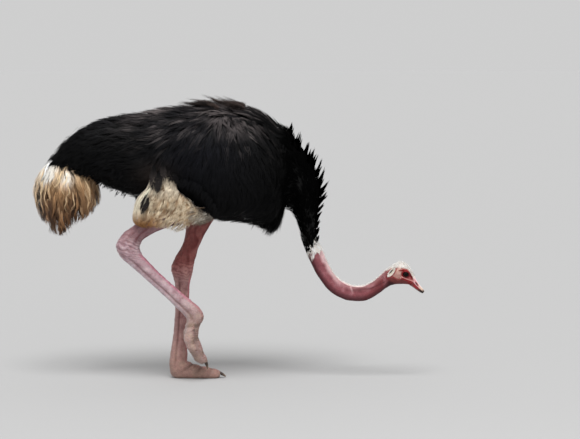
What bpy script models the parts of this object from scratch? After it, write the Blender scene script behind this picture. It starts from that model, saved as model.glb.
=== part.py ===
"""A male ostrich walking with its head lowered to feed: a still, life-size model.

Metres.  +X is forward, towards the bill, +Y is the bird's left side and +Z is up.  The origin is
on the ground under the middle of the bird.  The left foot stands, the right one is lifted.
"""
import math

import bmesh
import bpy
from mathutils import Vector

# ---- driving dimensions -------------------------------------------------------------------
GAP = 0.0003                # between neighbouring solids
GROUND = 0.0                # level of the sole that stands
SHRINK = 0.5 * GAP          # each side of a joint gives up half of the gap

# A row is one cross section, upright or slanting, but always square to the vertical X-Z plane:
# (upper or front edge x, z), (lower or rear edge x, z), half width.

# Back, belly and feathered rump, from the tip of the rump to the root of the neck.
TRUNK_ROWS = [
    ((-0.842, 1.052), (-0.838, 1.024), 0.030),
    ((-0.815, 1.105), (-0.812, 0.998), 0.085),
    ((-0.755, 1.168), (-0.750, 0.975), 0.125),
    ((-0.620, 1.256), (-0.620, 0.932), 0.168),
    ((-0.430, 1.288), (-0.430, 0.858), 0.205),
    ((-0.230, 1.330), (-0.230, 0.800), 0.232),
    ((-0.080, 1.364), (-0.080, 0.755), 0.245),
    ((0.053, 1.334), (0.050, 0.742), 0.238),
    ((0.150, 1.298), (0.146, 0.720), 0.215),
    ((0.235, 1.246), (0.224, 0.692), 0.178),
    ((0.290, 1.208), (0.262, 0.800), 0.148),
]
# Feathered base of the neck, from the root down to the white collar.
NECK_BASE_ROWS = [
    TRUNK_ROWS[-1],
    ((0.345, 1.155), (0.272, 0.826), 0.130),
    ((0.415, 1.062), (0.278, 0.842), 0.112),
    ((0.466, 0.938), (0.290, 0.822), 0.098),
    ((0.458, 0.835), (0.304, 0.794), 0.082),
    ((0.438, 0.735), (0.330, 0.742), 0.062),
    ((0.424, 0.660), (0.352, 0.668), 0.044),
    ((0.440, 0.646), (0.368, 0.608), 0.041),
]
# Bare neck, from the collar to the back of the head.
NECK_ROWS = [
    NECK_BASE_ROWS[-1],
    ((0.456, 0.606), (0.386, 0.573), 0.038),
    ((0.480, 0.550), (0.412, 0.519), 0.036),
    ((0.508, 0.502), (0.450, 0.461), 0.036),
    ((0.545, 0.470), (0.497, 0.409), 0.036),
    ((0.590, 0.450), (0.570, 0.375), 0.036),
    ((0.643, 0.448), (0.655, 0.374), 0.035),
    ((0.688, 0.468), (0.722, 0.410), 0.034),
    ((0.720, 0.492), (0.752, 0.434), 0.033),
    ((0.748, 0.519), (0.781, 0.450), 0.034),
]
COLLAR_END = 2              # rows of the neck where one length ends and the next begins
BEND_END = 5

# Skull with its crown of down, from the back of the head to the root of the bill.
HEAD_ROWS = [
    NECK_ROWS[-1],
    ((0.774, 0.543), (0.798, 0.453), 0.040),
    ((0.800, 0.561), (0.818, 0.454), 0.046),
    ((0.826, 0.570), (0.838, 0.454), 0.049),
    ((0.849, 0.561), (0.853, 0.453), 0.048),
    ((0.867, 0.543), (0.862, 0.452), 0.041),
    ((0.881, 0.518), (0.868, 0.450), 0.034),
    ((0.8915, 0.494), (0.8725, 0.447), 0.029),
]
# Bill: ridge, mouth line and keel, with the half width at the mouth line.
BILL_RIDGE = [(0.8917, 0.4938), (0.901, 0.4730), (0.916, 0.4505), (0.931, 0.4330), (0.9402, 0.4200)]
BILL_MOUTH = [(0.8838, 0.4650), (0.895, 0.4530), (0.910, 0.4375), (0.925, 0.4250), (0.9370, 0.4150)]
BILL_KEEL = [(0.8727, 0.4468), (0.886, 0.4385), (0.903, 0.4258), (0.919, 0.4150), (0.9315, 0.4090)]
BILL_HALF_WIDTHS = [0.029, 0.0255, 0.0215, 0.018, 0.0105]

EYE_RADIUS = 0.0235
EYE_CENTRE = (0.8475, 0.0285, 0.5065)

# Tail plumes, hanging below and behind the rump.
TAIL_ROWS = [
    ((-0.700, 1.030), (-0.850, 1.046), 0.085),
    ((-0.655, 0.965), (-0.900, 1.005), 0.120),
    ((-0.640, 0.900), (-0.932, 0.950), 0.138),
    ((-0.650, 0.840), (-0.936, 0.885), 0.142),
    ((-0.690, 0.770), (-0.905, 0.800), 0.128),
    ((-0.745, 0.722), (-0.872, 0.735), 0.090),
    ((-0.800, 0.702), (-0.848, 0.703), 0.040),
]

# Folded wing: sections across it from the shoulder to the tips of its dark feathers.
WING_ROWS = [
    ((0.236, 1.150), (0.234, 0.970), 0.030),
    ((0.190, 1.225), (0.180, 0.850), 0.066),
    ((0.080, 1.280), (0.075, 0.780), 0.086),
    ((-0.050, 1.295), (-0.060, 0.775), 0.090),
    ((-0.165, 1.275), (-0.160, 0.865), 0.084),
    ((-0.280, 1.225), (-0.250, 0.940), 0.068),
    ((-0.385, 1.125), (-0.350, 0.950), 0.046),
    ((-0.425, 1.045), (-0.420, 0.965), 0.022),
]
WING_SIDE = 0.190           # middle of the wing's thickness, from the bird's midline
WING_BOW = 0.052            # how far its upper and lower edges curve in round the body

# Long pale plumes below the wing.
PLUME_ROWS = [
    ((-0.255, 1.000), (-0.330, 0.990), 0.026),
    ((-0.205, 0.935), (-0.385, 0.945), 0.050),
    ((-0.120, 0.865), (-0.437, 0.878), 0.062),
    ((-0.078, 0.795), (-0.460, 0.800), 0.062),
    ((-0.110, 0.745), (-0.452, 0.752), 0.050),
    ((-0.185, 0.716), (-0.400, 0.735), 0.028),
]
PLUME_SIDE = 0.186
PLUME_BOW = 0.030

# Legs.  A row is front edge, rear edge, side place y and half width, y counted outwards.
RIGHT_LEG_ROWS = [
    ((-0.015, 0.850), (-0.075, 1.010), 0.110, 0.058),
    ((-0.125, 0.795), (-0.190, 0.935), 0.128, 0.060),
    ((-0.235, 0.757), (-0.300, 0.868), 0.130, 0.052),
    ((-0.335, 0.722), (-0.395, 0.793), 0.126, 0.042),
    ((-0.385, 0.694), (-0.458, 0.738), 0.121, 0.038),
    ((-0.410, 0.672), (-0.505, 0.705), 0.118, 0.041),
    ((-0.421, 0.642), (-0.536, 0.652), 0.116, 0.045),
    ((-0.408, 0.606), (-0.516, 0.600), 0.114, 0.041),
    ((-0.384, 0.578), (-0.455, 0.549), 0.112, 0.034),
    ((-0.331, 0.521), (-0.378, 0.479), 0.108, 0.029),
    ((-0.259, 0.455), (-0.305, 0.411), 0.102, 0.028),
    ((-0.192, 0.396), (-0.241, 0.347), 0.096, 0.030),
    ((-0.143, 0.355), (-0.202, 0.306), 0.092, 0.036),
    ((-0.120, 0.316), (-0.200, 0.282), 0.090, 0.038),
]
LEFT_LEG_ROWS = [
    ((0.050, 0.960), (-0.110, 1.015), 0.110, 0.062),
    ((-0.020, 0.835), (-0.170, 0.875), 0.118, 0.062),
    ((-0.098, 0.722), (-0.206, 0.742), 0.104, 0.052),
    ((-0.137, 0.654), (-0.217, 0.667), 0.089, 0.040),
    ((-0.157, 0.600), (-0.241, 0.610), 0.078, 0.038),
    ((-0.169, 0.556), (-0.274, 0.558), 0.070, 0.042),
    ((-0.174, 0.518), (-0.284, 0.520), 0.064, 0.045),
    ((-0.184, 0.480), (-0.272, 0.482), 0.058, 0.041),
    ((-0.194, 0.440), (-0.261, 0.440), 0.052, 0.034),
    ((-0.197, 0.350), (-0.259, 0.352), 0.039, 0.029),
    ((-0.202, 0.260), (-0.264, 0.262), 0.026, 0.028),
    ((-0.206, 0.170), (-0.273, 0.172), 0.013, 0.031),
    ((-0.203, 0.112), (-0.284, 0.112), 0.006, 0.039),
    ((-0.206, 0.078), (-0.288, 0.062), 0.003, 0.042),
]
HOCK_ROW = 6                # drumstick above it, shank below it

# Standing toes: top edge, bottom edge, y and half width; soles are cut level with the ground.
LEFT_TOE_3_ROWS = [
    LEFT_LEG_ROWS[-1],
    ((-0.186, 0.071), (-0.285, 0.022), 0.002, 0.043),
    ((-0.165, 0.064), (-0.262, -0.008), 0.001, 0.040),
    ((-0.140, 0.057), (-0.200, -0.012), 0.000, 0.038),
    ((-0.110, 0.050), (-0.145, -0.012), -0.001, 0.037),
    ((-0.080, 0.044), (-0.095, -0.012), -0.002, 0.034),
    ((-0.058, 0.036), (-0.062, -0.006), -0.003, 0.027),
    ((-0.045, 0.028), (-0.046, 0.004), -0.003, 0.017),
]
LEFT_TOE_4_ROWS = [
    ((-0.236, 0.052), (-0.262, 0.006), 0.051, 0.022),
    ((-0.206, 0.046), (-0.226, -0.008), 0.065, 0.025),
    ((-0.176, 0.040), (-0.190, -0.010), 0.081, 0.024),
    ((-0.148, 0.034), (-0.156, -0.008), 0.095, 0.021),
    ((-0.130, 0.025), (-0.134, -0.002), 0.103, 0.013),
]
# Lifted toes, hanging below the right shank.
RIGHT_TOE_3_ROWS = [
    RIGHT_LEG_ROWS[-1],
    ((-0.124, 0.289), (-0.207, 0.264), 0.089, 0.038),
    ((-0.143, 0.255), (-0.215, 0.240), 0.087, 0.034),
    ((-0.146, 0.215), (-0.213, 0.210), 0.084, 0.033),
    ((-0.134, 0.170), (-0.196, 0.158), 0.080, 0.033),
    ((-0.116, 0.125), (-0.172, 0.108), 0.076, 0.031),
    ((-0.106, 0.102), (-0.146, 0.084), 0.074, 0.023),
    ((-0.104, 0.090), (-0.126, 0.079), 0.073, 0.013),
]
RIGHT_TOE_4_ROWS = [
    ((-0.160, 0.262), (-0.206, 0.246), 0.134, 0.016),
    ((-0.164, 0.236), (-0.212, 0.224), 0.144, 0.021),
    ((-0.163, 0.203), (-0.208, 0.191), 0.152, 0.022),
    ((-0.154, 0.172), (-0.192, 0.160), 0.158, 0.018),
    ((-0.146, 0.156), (-0.172, 0.147), 0.161, 0.011),
]
CLAW_LENGTH = 0.048
CLAW_HALF_WIDTH = 0.0135
CLAW_HEIGHT = 0.020

# ---- colours: red, green, blue, roughness -------------------------------------------------
BLACK_PLUMAGE = (0.012, 0.012, 0.014, 0.75)
PALE_PLUMES = (0.42, 0.30, 0.18, 0.85)
TAIL_BUFF = (0.36, 0.23, 0.12, 0.85)
NECK_SKIN = (0.36, 0.13, 0.14, 0.60)
COLLAR_DOWN = (0.62, 0.58, 0.54, 0.85)
HEAD_SKIN = (0.40, 0.20, 0.19, 0.60)
BILL_HORN = (0.55, 0.24, 0.22, 0.40)
EYE_DARK = (0.015, 0.010, 0.008, 0.08)
LEG_SKIN = (0.48, 0.33, 0.34, 0.60)
CLAW_HORN = (0.05, 0.04, 0.035, 0.45)


# ---- helpers ------------------------------------------------------------------------------
def clear_scene():
    for item in list(bpy.data.objects):
        bpy.data.objects.remove(item, do_unlink=True)


def new_collection(name):
    collection = bpy.data.collections.new(name)
    bpy.context.scene.collection.children.link(collection)
    return collection


def material(name, colour):
    made = bpy.data.materials.new(name)
    made.use_nodes = True
    shader = made.node_tree.nodes["Principled BSDF"]
    shader.inputs["Base Color"].default_value = (*colour[:3], 1.0)
    shader.inputs["Roughness"].default_value = colour[3]
    shader.inputs["Metallic"].default_value = 0.0
    return made


def between(before, start, end, after, t):
    """One number on a smooth curve through four evenly spaced ones, t from start to end."""
    lead = 0.5 * (end - before)
    trail = 0.5 * (after - start)
    square = t * t
    cube = square * t
    return ((2 * cube - 3 * square + 1) * start + (cube - 2 * square + t) * lead
            + (3 * square - 2 * cube) * end + (cube - square) * trail)


def smooth_rows(rows, steps):
    """The rows with steps - 1 more between each two, all as flat tuples of numbers."""
    flat = [(*row[0], *row[1], *row[2:]) for row in rows]
    dense = []
    for index in range(len(flat) - 1):
        before = flat[max(index - 1, 0)]
        after = flat[min(index + 2, len(flat) - 1)]
        for step in range(steps):
            dense.append(tuple(between(*four, step / steps)
                               for four in zip(before, flat[index], flat[index + 1], after)))
    dense.append(flat[-1])
    return dense


def ring(row, side, count, power, bow=0.0, half=None):
    """Points round one cross section, a rounded oval, or its upper or lower half.

    bow draws the oval's upper and lower edges in towards the midline by that much.
    """
    front = Vector((row[0], 0.0, row[1]))
    rear = Vector((row[2], 0.0, row[3]))
    place, width = (row[4], row[5]) if len(row) == 6 else (0.0, row[4])
    centre = 0.5 * (front + rear)
    reach = 0.5 * (front - rear)
    if half == "upper":
        centre, reach = rear, front - rear
    if half == "lower":
        centre, reach = front, front - rear
    points = []
    for index in range(count):
        angle = 2.0 * math.pi * index / count
        across = math.copysign(abs(math.cos(angle)) ** (2.0 / power), math.cos(angle))
        along = math.copysign(abs(math.sin(angle)) ** (2.0 / power), math.sin(angle))
        if half == "upper":
            along = max(along, 0.0)
        if half == "lower":
            along = min(along, 0.0)
        point = centre + along * reach
        point.y = side * (place - bow * along * along) + width * across
        points.append(point)
    return points


def add_object(name, mesh, colour, collection):
    made = bpy.data.objects.new(name, mesh)
    collection.objects.link(made)
    mesh.materials.append(material(name, colour))
    mesh.shade_smooth()
    mesh.set_sharp_from_angle(angle=math.radians(40.0))
    return made


def loft(name, rows, colour, collection, steps=2, count=16, power=2.2, side=0.0, bow=0.0,
         shrink=(0.0, 0.0), round_ends=(False, False), half=None, level_sole=False):
    """A closed solid through the rows.  side is -1, 1 or 0: right, left or on the midline.

    shrink draws in the first and last section by that much; a round end gets a domed cap.
    """
    rings = [ring(row, side, count, power, bow, half) for row in smooth_rows(rows, steps)]
    centres = [sum(points, Vector()) / count for points in rings]
    for end, inner, amount in ((0, 1, shrink[0]), (-1, -2, shrink[1])):
        step = (centres[inner] - centres[end]).normalized() * amount
        rings[end] = [point + step for point in rings[end]]
    mesh = bpy.data.meshes.new(name)
    work = bmesh.new()
    made = [[work.verts.new(point) for point in points] for points in rings]
    for near, far in zip(made, made[1:]):
        for index in range(count):
            after = (index + 1) % count
            work.faces.new((near[index], near[after], far[after], far[index]))
    for end, inner, rounded in ((0, 1, round_ends[0]), (-1, -2, round_ends[1])):
        if rounded:
            outwards = (centres[end] - centres[inner]).normalized()
            size = min((point - centres[end]).length for point in rings[end])
            tip = work.verts.new(centres[end] + outwards * 0.5 * size)
            for index in range(count):
                work.faces.new((made[end][index], made[end][(index + 1) % count], tip))
        else:
            work.faces.new(made[end])
    if level_sole:
        for vertex in work.verts:
            vertex.co.z = max(vertex.co.z, GROUND)
    bmesh.ops.triangulate(work, faces=work.faces)
    bmesh.ops.recalc_face_normals(work, faces=work.faces)
    work.to_mesh(mesh)
    work.free()
    return add_object(name, mesh, colour, collection)


def grown_cutter(source, cutters):
    """A copy of a solid, larger by the gap all round, to cut its neighbours with."""
    name = source.name + "_cutter"
    if name in bpy.data.objects:
        return bpy.data.objects[name]
    mesh = source.data.copy()
    mesh.name = name
    normals = [vertex.normal.copy() for vertex in mesh.vertices]
    for vertex, normal in zip(mesh.vertices, normals):
        vertex.co += normal * GAP
    cutter = bpy.data.objects.new(name, mesh)
    cutter.hide_render = True
    cutter.display_type = "WIRE"
    cutters.objects.link(cutter)
    return cutter


def cut_away(solid, cutter):
    boolean = solid.modifiers.new("clear_of_" + cutter.name, "BOOLEAN")
    boolean.operation = "DIFFERENCE"
    boolean.solver = "EXACT"
    boolean.object = cutter


def ball(name, centre, radius, colour, collection, segments=16, rings=8):
    mesh = bpy.data.meshes.new(name)
    work = bmesh.new()
    bmesh.ops.create_uvsphere(work, u_segments=segments, v_segments=rings, radius=radius)
    bmesh.ops.translate(work, verts=work.verts, vec=Vector(centre))
    work.to_mesh(mesh)
    work.free()
    return add_object(name, mesh, colour, collection)


# ---- the bird -----------------------------------------------------------------------------
def build_trunk(parts):
    return loft("trunk", TRUNK_ROWS, BLACK_PLUMAGE, parts, count=24, shrink=(0.0, SHRINK),
                round_ends=(True, False))


def build_neck(parts):
    both = (SHRINK, SHRINK)
    loft("neck_base", NECK_BASE_ROWS, BLACK_PLUMAGE, parts, shrink=both)
    bare = {"count": 14, "power": 2.0, "shrink": both}
    loft("neck_collar", NECK_ROWS[:COLLAR_END + 1], COLLAR_DOWN, parts, **bare)
    loft("neck_bend", NECK_ROWS[COLLAR_END:BEND_END + 1], NECK_SKIN, parts, **bare)
    loft("neck_upper", NECK_ROWS[BEND_END:], NECK_SKIN, parts, **bare)


def build_head(parts, cutters):
    head = loft("head", HEAD_ROWS, HEAD_SKIN, parts, shrink=(SHRINK, SHRINK))
    for side, name in ((-1, "eye_right"), (1, "eye_left")):
        centre = (EYE_CENTRE[0], side * EYE_CENTRE[1], EYE_CENTRE[2])
        ball(name, centre, EYE_RADIUS, EYE_DARK, parts)
        socket = ball(name + "_socket", centre, EYE_RADIUS + GAP, EYE_DARK, cutters)
        socket.hide_render = True
        socket.display_type = "WIRE"
        cut_away(head, socket)
    upper_rows = list(zip(BILL_RIDGE, BILL_MOUTH, BILL_HALF_WIDTHS))
    loft("bill_upper", upper_rows, BILL_HORN, parts, shrink=(SHRINK, 0.0), half="upper")
    mouth = [(x - SHRINK, z - GAP) for x, z in BILL_MOUTH]
    lower_rows = list(zip(mouth, BILL_KEEL, BILL_HALF_WIDTHS))
    loft("bill_lower", lower_rows, BILL_HORN, parts, shrink=(SHRINK, 0.0), half="lower")


def build_wings(parts, cutters, trunk):
    wings = {}
    for side, name in ((-1, "right"), (1, "left")):
        rows = [(top, bottom, WING_SIDE, width) for top, bottom, width in WING_ROWS]
        wings[name] = loft("wing_" + name, rows, BLACK_PLUMAGE, parts, power=2.6, side=side,
                           bow=WING_BOW, round_ends=(True, True))
        cut_away(wings[name], grown_cutter(trunk, cutters))
    return wings


def build_legs(parts, cutters, trunk, wings):
    drumsticks = {}
    both = (SHRINK, SHRINK)
    for side, name, rows in ((-1, "right", RIGHT_LEG_ROWS), (1, "left", LEFT_LEG_ROWS)):
        drumsticks[name] = loft("drumstick_" + name, rows[:HOCK_ROW + 1], LEG_SKIN, parts,
                                count=14, side=side, shrink=both)
        for neighbour in (trunk, wings[name]):
            cut_away(drumsticks[name], grown_cutter(neighbour, cutters))
        loft("shank_" + name, rows[HOCK_ROW:], LEG_SKIN, parts, count=14, side=side,
             shrink=both)
    return drumsticks


def claw(name, side, root, place, pitch, colour, parts):
    """A blunt curved nail from its root, pitched down by an angle, with a flat back end."""
    rows = []
    for step in range(4):
        t = step / 3.0
        turn = pitch - math.radians(18.0) * t
        along = Vector((math.cos(turn), math.sin(turn)))
        up = Vector((-along.y, along.x))
        middle = Vector(root) + along * CLAW_LENGTH * t
        thick = CLAW_HEIGHT * 0.5 * (1.0 - 0.72 * t * t)
        rows.append((tuple(middle + up * thick), tuple(middle - up * thick), place,
                     CLAW_HALF_WIDTH * (1.0 - 0.66 * t * t)))
    return loft(name, rows, colour, parts, steps=1, count=10, side=side, round_ends=(False, True))


def build_feet(parts, cutters):
    toe = loft("toe_3_left", LEFT_TOE_3_ROWS, LEG_SKIN, parts, count=14, side=1,
               shrink=(SHRINK, 0.0), round_ends=(False, True), level_sole=True)
    outer = loft("toe_4_left", LEFT_TOE_4_ROWS, LEG_SKIN, parts, count=12, side=1,
                 round_ends=(False, True), level_sole=True)
    cut_away(outer, grown_cutter(toe, cutters))
    lifted = loft("toe_3_right", RIGHT_TOE_3_ROWS, LEG_SKIN, parts, count=14, side=-1,
                  shrink=(SHRINK, 0.0), round_ends=(False, True))
    lifted_outer = loft("toe_4_right", RIGHT_TOE_4_ROWS, LEG_SKIN, parts, count=12, side=-1,
                        round_ends=(True, True))
    cut_away(lifted_outer, grown_cutter(lifted, cutters))
    standing_claw = claw("claw_left", 1, (-0.060, 0.025), -0.003, math.radians(-6.0),
                         CLAW_HORN, parts)
    cut_away(standing_claw, grown_cutter(toe, cutters))
    lifted_claw = claw("claw_right", -1, (-0.118, 0.098), 0.073, math.radians(-52.0),
                       CLAW_HORN, parts)
    cut_away(lifted_claw, grown_cutter(lifted, cutters))


def build_plumes(parts, cutters, trunk, wings, drumsticks):
    tail = loft("tail_plumes", TAIL_ROWS, TAIL_BUFF, parts, round_ends=(False, True))
    cut_away(tail, grown_cutter(trunk, cutters))
    for side, name in ((-1, "right"), (1, "left")):
        rows = [(top, bottom, PLUME_SIDE, width) for top, bottom, width in PLUME_ROWS]
        plumes = loft("wing_plumes_" + name, rows, PALE_PLUMES, parts, side=side,
                      bow=PLUME_BOW, round_ends=(True, True))
        for neighbour in (trunk, wings[name], drumsticks[name]):
            cut_away(plumes, grown_cutter(neighbour, cutters))


def main():
    clear_scene()
    parts = new_collection("ostrich")
    cutters = new_collection("cutters")
    trunk = build_trunk(parts)
    build_neck(parts)
    build_head(parts, cutters)
    wings = build_wings(parts, cutters, trunk)
    drumsticks = build_legs(parts, cutters, trunk, wings)
    build_feet(parts, cutters)
    build_plumes(parts, cutters, trunk, wings, drumsticks)


main()
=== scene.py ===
"""The looks of the ostrich: skin, head, bill, eyes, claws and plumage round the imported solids.

Metres, +X towards the bill, +Y the bird's left side, +Z up.  The flesh, bill, claws and wing
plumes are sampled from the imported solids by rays, in rings along each part, so they sit where
the solids say.  Every tuft is rooted on those rings, and the tail's on rings from a table.
"""

import math

import bmesh
import bpy
import numpy as np
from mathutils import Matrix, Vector
from mathutils.bvhtree import BVHTree
from mathutils.kdtree import KDTree


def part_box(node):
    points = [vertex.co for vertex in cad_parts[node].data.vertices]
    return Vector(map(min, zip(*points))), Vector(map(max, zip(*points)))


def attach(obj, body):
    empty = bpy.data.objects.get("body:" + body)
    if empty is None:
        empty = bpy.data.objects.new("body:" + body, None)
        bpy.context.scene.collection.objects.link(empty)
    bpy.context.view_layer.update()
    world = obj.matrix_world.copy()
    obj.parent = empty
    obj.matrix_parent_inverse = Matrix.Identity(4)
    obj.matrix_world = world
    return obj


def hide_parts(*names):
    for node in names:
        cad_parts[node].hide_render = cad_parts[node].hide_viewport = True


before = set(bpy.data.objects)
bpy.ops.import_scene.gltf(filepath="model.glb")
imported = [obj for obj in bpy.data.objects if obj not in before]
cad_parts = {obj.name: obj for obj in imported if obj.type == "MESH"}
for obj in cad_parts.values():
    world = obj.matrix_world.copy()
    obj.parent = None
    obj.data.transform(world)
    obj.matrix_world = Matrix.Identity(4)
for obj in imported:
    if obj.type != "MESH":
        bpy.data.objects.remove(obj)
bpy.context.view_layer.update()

UP = np.array([0.0, 0.0, 1.0])
ACROSS = np.array([0.0, 1.0, 0.0])
PATCH = 0.003               # size of one tuft's patch on the unwrap

# ---- guide stations -------------------------------------------------------------------------
# A station is the middle of one section: x, y, z, the slant in degrees of its upper or front
# direction above +X, and the number of rings from there to the next station.
SPINE = [
    # rump, back (6 is its highest point) and breast (9)
    (-0.84, 0, 1.038, 98.0, 2), (-0.8135, 0, 1.0515, 91.6, 4), (-0.7525, 0, 1.0715, 91.5, 7),
    (-0.62, 0, 1.094, 90.0, 10), (-0.43, 0, 1.073, 90.0, 10), (-0.23, 0, 1.065, 90.0, 8),
    (-0.08, 0, 1.0595, 90.0, 7), (0.0515, 0, 1.038, 89.7, 5), (0.148, 0, 1.009, 89.6, 5),
    (0.2295, 0, 0.969, 88.9, 4),
    # root of the neck, down to the collar
    (0.276, 0, 1.004, 86.1, 4), (0.3085, 0, 0.9905, 77.5, 4), (0.3465, 0, 0.952, 58.1, 7),
    (0.378, 0, 0.88, 33.4, 6), (0.381, 0, 0.8145, 14.9, 7), (0.384, 0, 0.7385, -3.7, 7),
    (0.388, 0, 0.664, -6.3, 8),
    # collar, lowest point of the bare neck (22), up to the head
    (0.404, 0, 0.627, 27.8, 12), (0.421, 0, 0.5895, 25.2, 17), (0.446, 0, 0.5345, 24.5, 17),
    (0.479, 0, 0.4815, 35.3, 17), (0.521, 0, 0.4395, 51.8, 18), (0.58, 0, 0.4125, 75.1, 19),
    (0.649, 0, 0.411, 99.2, 18), (0.705, 0, 0.439, 120.4, 12), (0.736, 0, 0.463, 118.9, 12),
    # skull, to the root of the bill
    (0.7645, 0, 0.4845, 115.6, 21), (0.786, 0, 0.498, 104.9, 20), (0.809, 0, 0.5075, 99.5, 19),
    (0.832, 0, 0.512, 95.9, 16), (0.851, 0, 0.507, 92.1, 13), (0.8645, 0, 0.4975, 86.9, 14),
    (0.8745, 0, 0.484, 79.2, 12), (0.8814, 0, 0.4708, 68.5, 1),
]
RIGHT_LEG = [
    # thigh to hock
    (-0.1575, -0.128, 0.865, -65.1, 9), (-0.2675, -0.13, 0.8125, -59.6, 12),
    (-0.365, -0.126, 0.7575, -49.8, 14), (-0.4215, -0.121, 0.716, -31.1, 10),
    (-0.4575, -0.118, 0.6885, -19.2, 12), (-0.4785, -0.116, 0.647, -5.0, 12),
    # foot bone
    (-0.462, -0.114, 0.603, 3.2, 14), (-0.4195, -0.112, 0.5635, 22.2, 20),
    (-0.3545, -0.108, 0.5, 41.8, 22), (-0.282, -0.102, 0.433, 43.7, 20),
    (-0.2165, -0.096, 0.3715, 45.0, 14), (-0.1725, -0.092, 0.3305, 39.7, 8),
    # root of the toes, and the long toe
    (-0.16, -0.09, 0.299, 23.0, 8), (-0.1655, -0.089, 0.2765, 16.8, 9),
    (-0.179, -0.087, 0.2475, 11.8, 11), (-0.1795, -0.084, 0.2125, 4.3, 15),
    (-0.165, -0.08, 0.164, 11.0, 16), (-0.144, -0.076, 0.1165, 16.9, 9),
    (-0.126, -0.074, 0.093, 24.2, 4), (-0.115, -0.073, 0.0845, 26.6, 1),
]
LEFT_LEG = [
    # thigh to hock
    (-0.03, 0.11, 0.9875, -19.0, 9), (-0.095, 0.118, 0.855, -14.9, 11),
    (-0.152, 0.104, 0.732, -10.5, 16), (-0.177, 0.089, 0.6605, -9.2, 14),
    (-0.199, 0.078, 0.605, -6.8, 13), (-0.2215, 0.07, 0.557, -1.1, 10),
    (-0.229, 0.064, 0.519, -1.0, 10),
    # foot bone
    (-0.228, 0.058, 0.481, -1.3, 12), (-0.2275, 0.052, 0.44, 0.0, 22),
    (-0.228, 0.039, 0.351, -1.8, 24), (-0.233, 0.026, 0.261, -1.8, 24),
    (-0.2395, 0.013, 0.171, -1.7, 18), (-0.2435, 0.006, 0.112, 0.0, 12),
    # root of the toes, and the long toe
    (-0.247, 0.003, 0.07, 11.0, 9), (-0.2355, 0.002, 0.0465, 26.3, 9),
    (-0.2135, 0.001, 0.028, 36.6, 12), (-0.17, 0.0, 0.0225, 49.0, 12),
    (-0.1275, -0.001, 0.019, 60.6, 12), (-0.0875, -0.002, 0.016, 75.0, 9),
    (-0.06, -0.003, 0.015, 84.6, 5), (-0.0455, -0.003, 0.016, 87.6, 1),
]
RIGHT_OUTER_TOE = [
    (-0.179, -0.105, 0.274, 14.0, 6), (-0.183, -0.134, 0.254, 19.2, 8),
    (-0.188, -0.144, 0.23, 14.0, 10), (-0.1855, -0.152, 0.197, 14.9, 10),
    (-0.173, -0.158, 0.166, 17.5, 5), (-0.159, -0.161, 0.1515, 19.1, 1),
]
LEFT_OUTER_TOE = [
    (-0.265, 0.022, 0.036, 52.0, 6), (-0.249, 0.051, 0.029, 60.5, 8),
    (-0.216, 0.065, 0.021, 69.7, 9), (-0.183, 0.081, 0.017, 74.4, 9),
    (-0.152, 0.095, 0.014, 79.0, 6), (-0.132, 0.103, 0.0125, 81.6, 1),
]
BILL_UPPER = [
    (0.8878, 0, 0.4794, 74.7, 22), (0.898, 0, 0.463, 73.3, 28), (0.913, 0, 0.444, 65.2, 18),
    (0.928, 0, 0.429, 53.1, 14), (0.9384, 0, 0.4177, 57.0, 1),
]
BILL_LOWER = [
    (0.8783, 0, 0.4559, 58.6, 14), (0.8905, 0, 0.4458, 58.2, 18), (0.9065, 0, 0.4317, 59.1, 16),
    (0.922, 0, 0.42, 59.0, 12), (0.9341, 0, 0.4122, 48.0, 1),
]
PLUMES = [
    (-0.2925, 0.186, 0.995, 7.6, 8), (-0.295, 0.186, 0.94, -3.2, 8),
    (-0.2785, 0.186, 0.8715, -2.3, 8), (-0.269, 0.186, 0.7975, -0.7, 8),
    (-0.281, 0.186, 0.7485, -1.2, 5), (-0.2925, 0.186, 0.71, -5.0, 1),
]
# The tail's plumes at each height: z, rearmost x, foremost x, half width.
TAIL = [
    (1.05, -0.865, -0.7, 0.08), (1.0, -0.906, -0.645, 0.112), (0.95, -0.93, -0.625, 0.134),
    (0.9, -0.936, -0.618, 0.142), (0.85, -0.928, -0.618, 0.14), (0.8, -0.912, -0.628, 0.13),
    (0.75, -0.892, -0.648, 0.115), (0.7, -0.87, -0.672, 0.095), (0.685, -0.862, -0.69, 0.08),
]
# Where the plumes end below: x and z along the tail, then along the wing's pale plumes.
TAIL_HEM = ((-0.94, -0.893, -0.868, -0.850, -0.80, -0.76, -0.70, -0.655, -0.63),
            (0.745, 0.755, 0.740, 0.690, 0.690, 0.730, 0.755, 0.785, 0.83))
PLUME_HEM = ((-0.46, -0.437, -0.385, -0.315, -0.272, -0.217, -0.187, -0.141, -0.079),
             (0.765, 0.730, 0.745, 0.739, 0.734, 0.711, 0.727, 0.757, 0.757))
# Where the black coat ends over the pale plumes: x and z.
PLUME_TOP = ((-0.285, -0.272, -0.232, -0.180, -0.156, -0.1315, -0.104, -0.079, -0.060),
             (0.978, 0.962, 0.933, 0.919, 0.911, 0.898, 0.868, 0.826, 0.784))
RUMP_END = 3.9              # stations of the spine that the code asks about
TRUNK_END = 9.8
NECK_ROOT = 10
COLLAR = 17
BACK_EDGE = 48.0            # degrees from the top of the back to where the wing's side begins
BELLY_EDGE = 132.0          # and to where it ends
CLAW_LENGTH = 0.048
CLAW_CURL = 18.0            # degrees that a claw turns down from root to tip
EYE = np.array([0.8475, 0.0285, 0.5065])        # middle of the left eyeball
EYE_RADIUS = 0.5 * (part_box("eye_left")[1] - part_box("eye_left")[0]).z
# Ovals seen from the side: x and z of the middle, tilt in degrees, long and short half axis.
EAR = ((0.7785, 0.5135), 51.0, 0.0270, 0.0105)
EAR_SLIT = ((0.7778, 0.5175), 48.0, 0.0125, 0.0036)
LIDS = ((EYE[0], EYE[2]), -14.0, 0.0136, 0.0112)
NOSTRIL = ((0.9015, 0.4570), -52.6, 0.0110, 0.0023)
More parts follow.
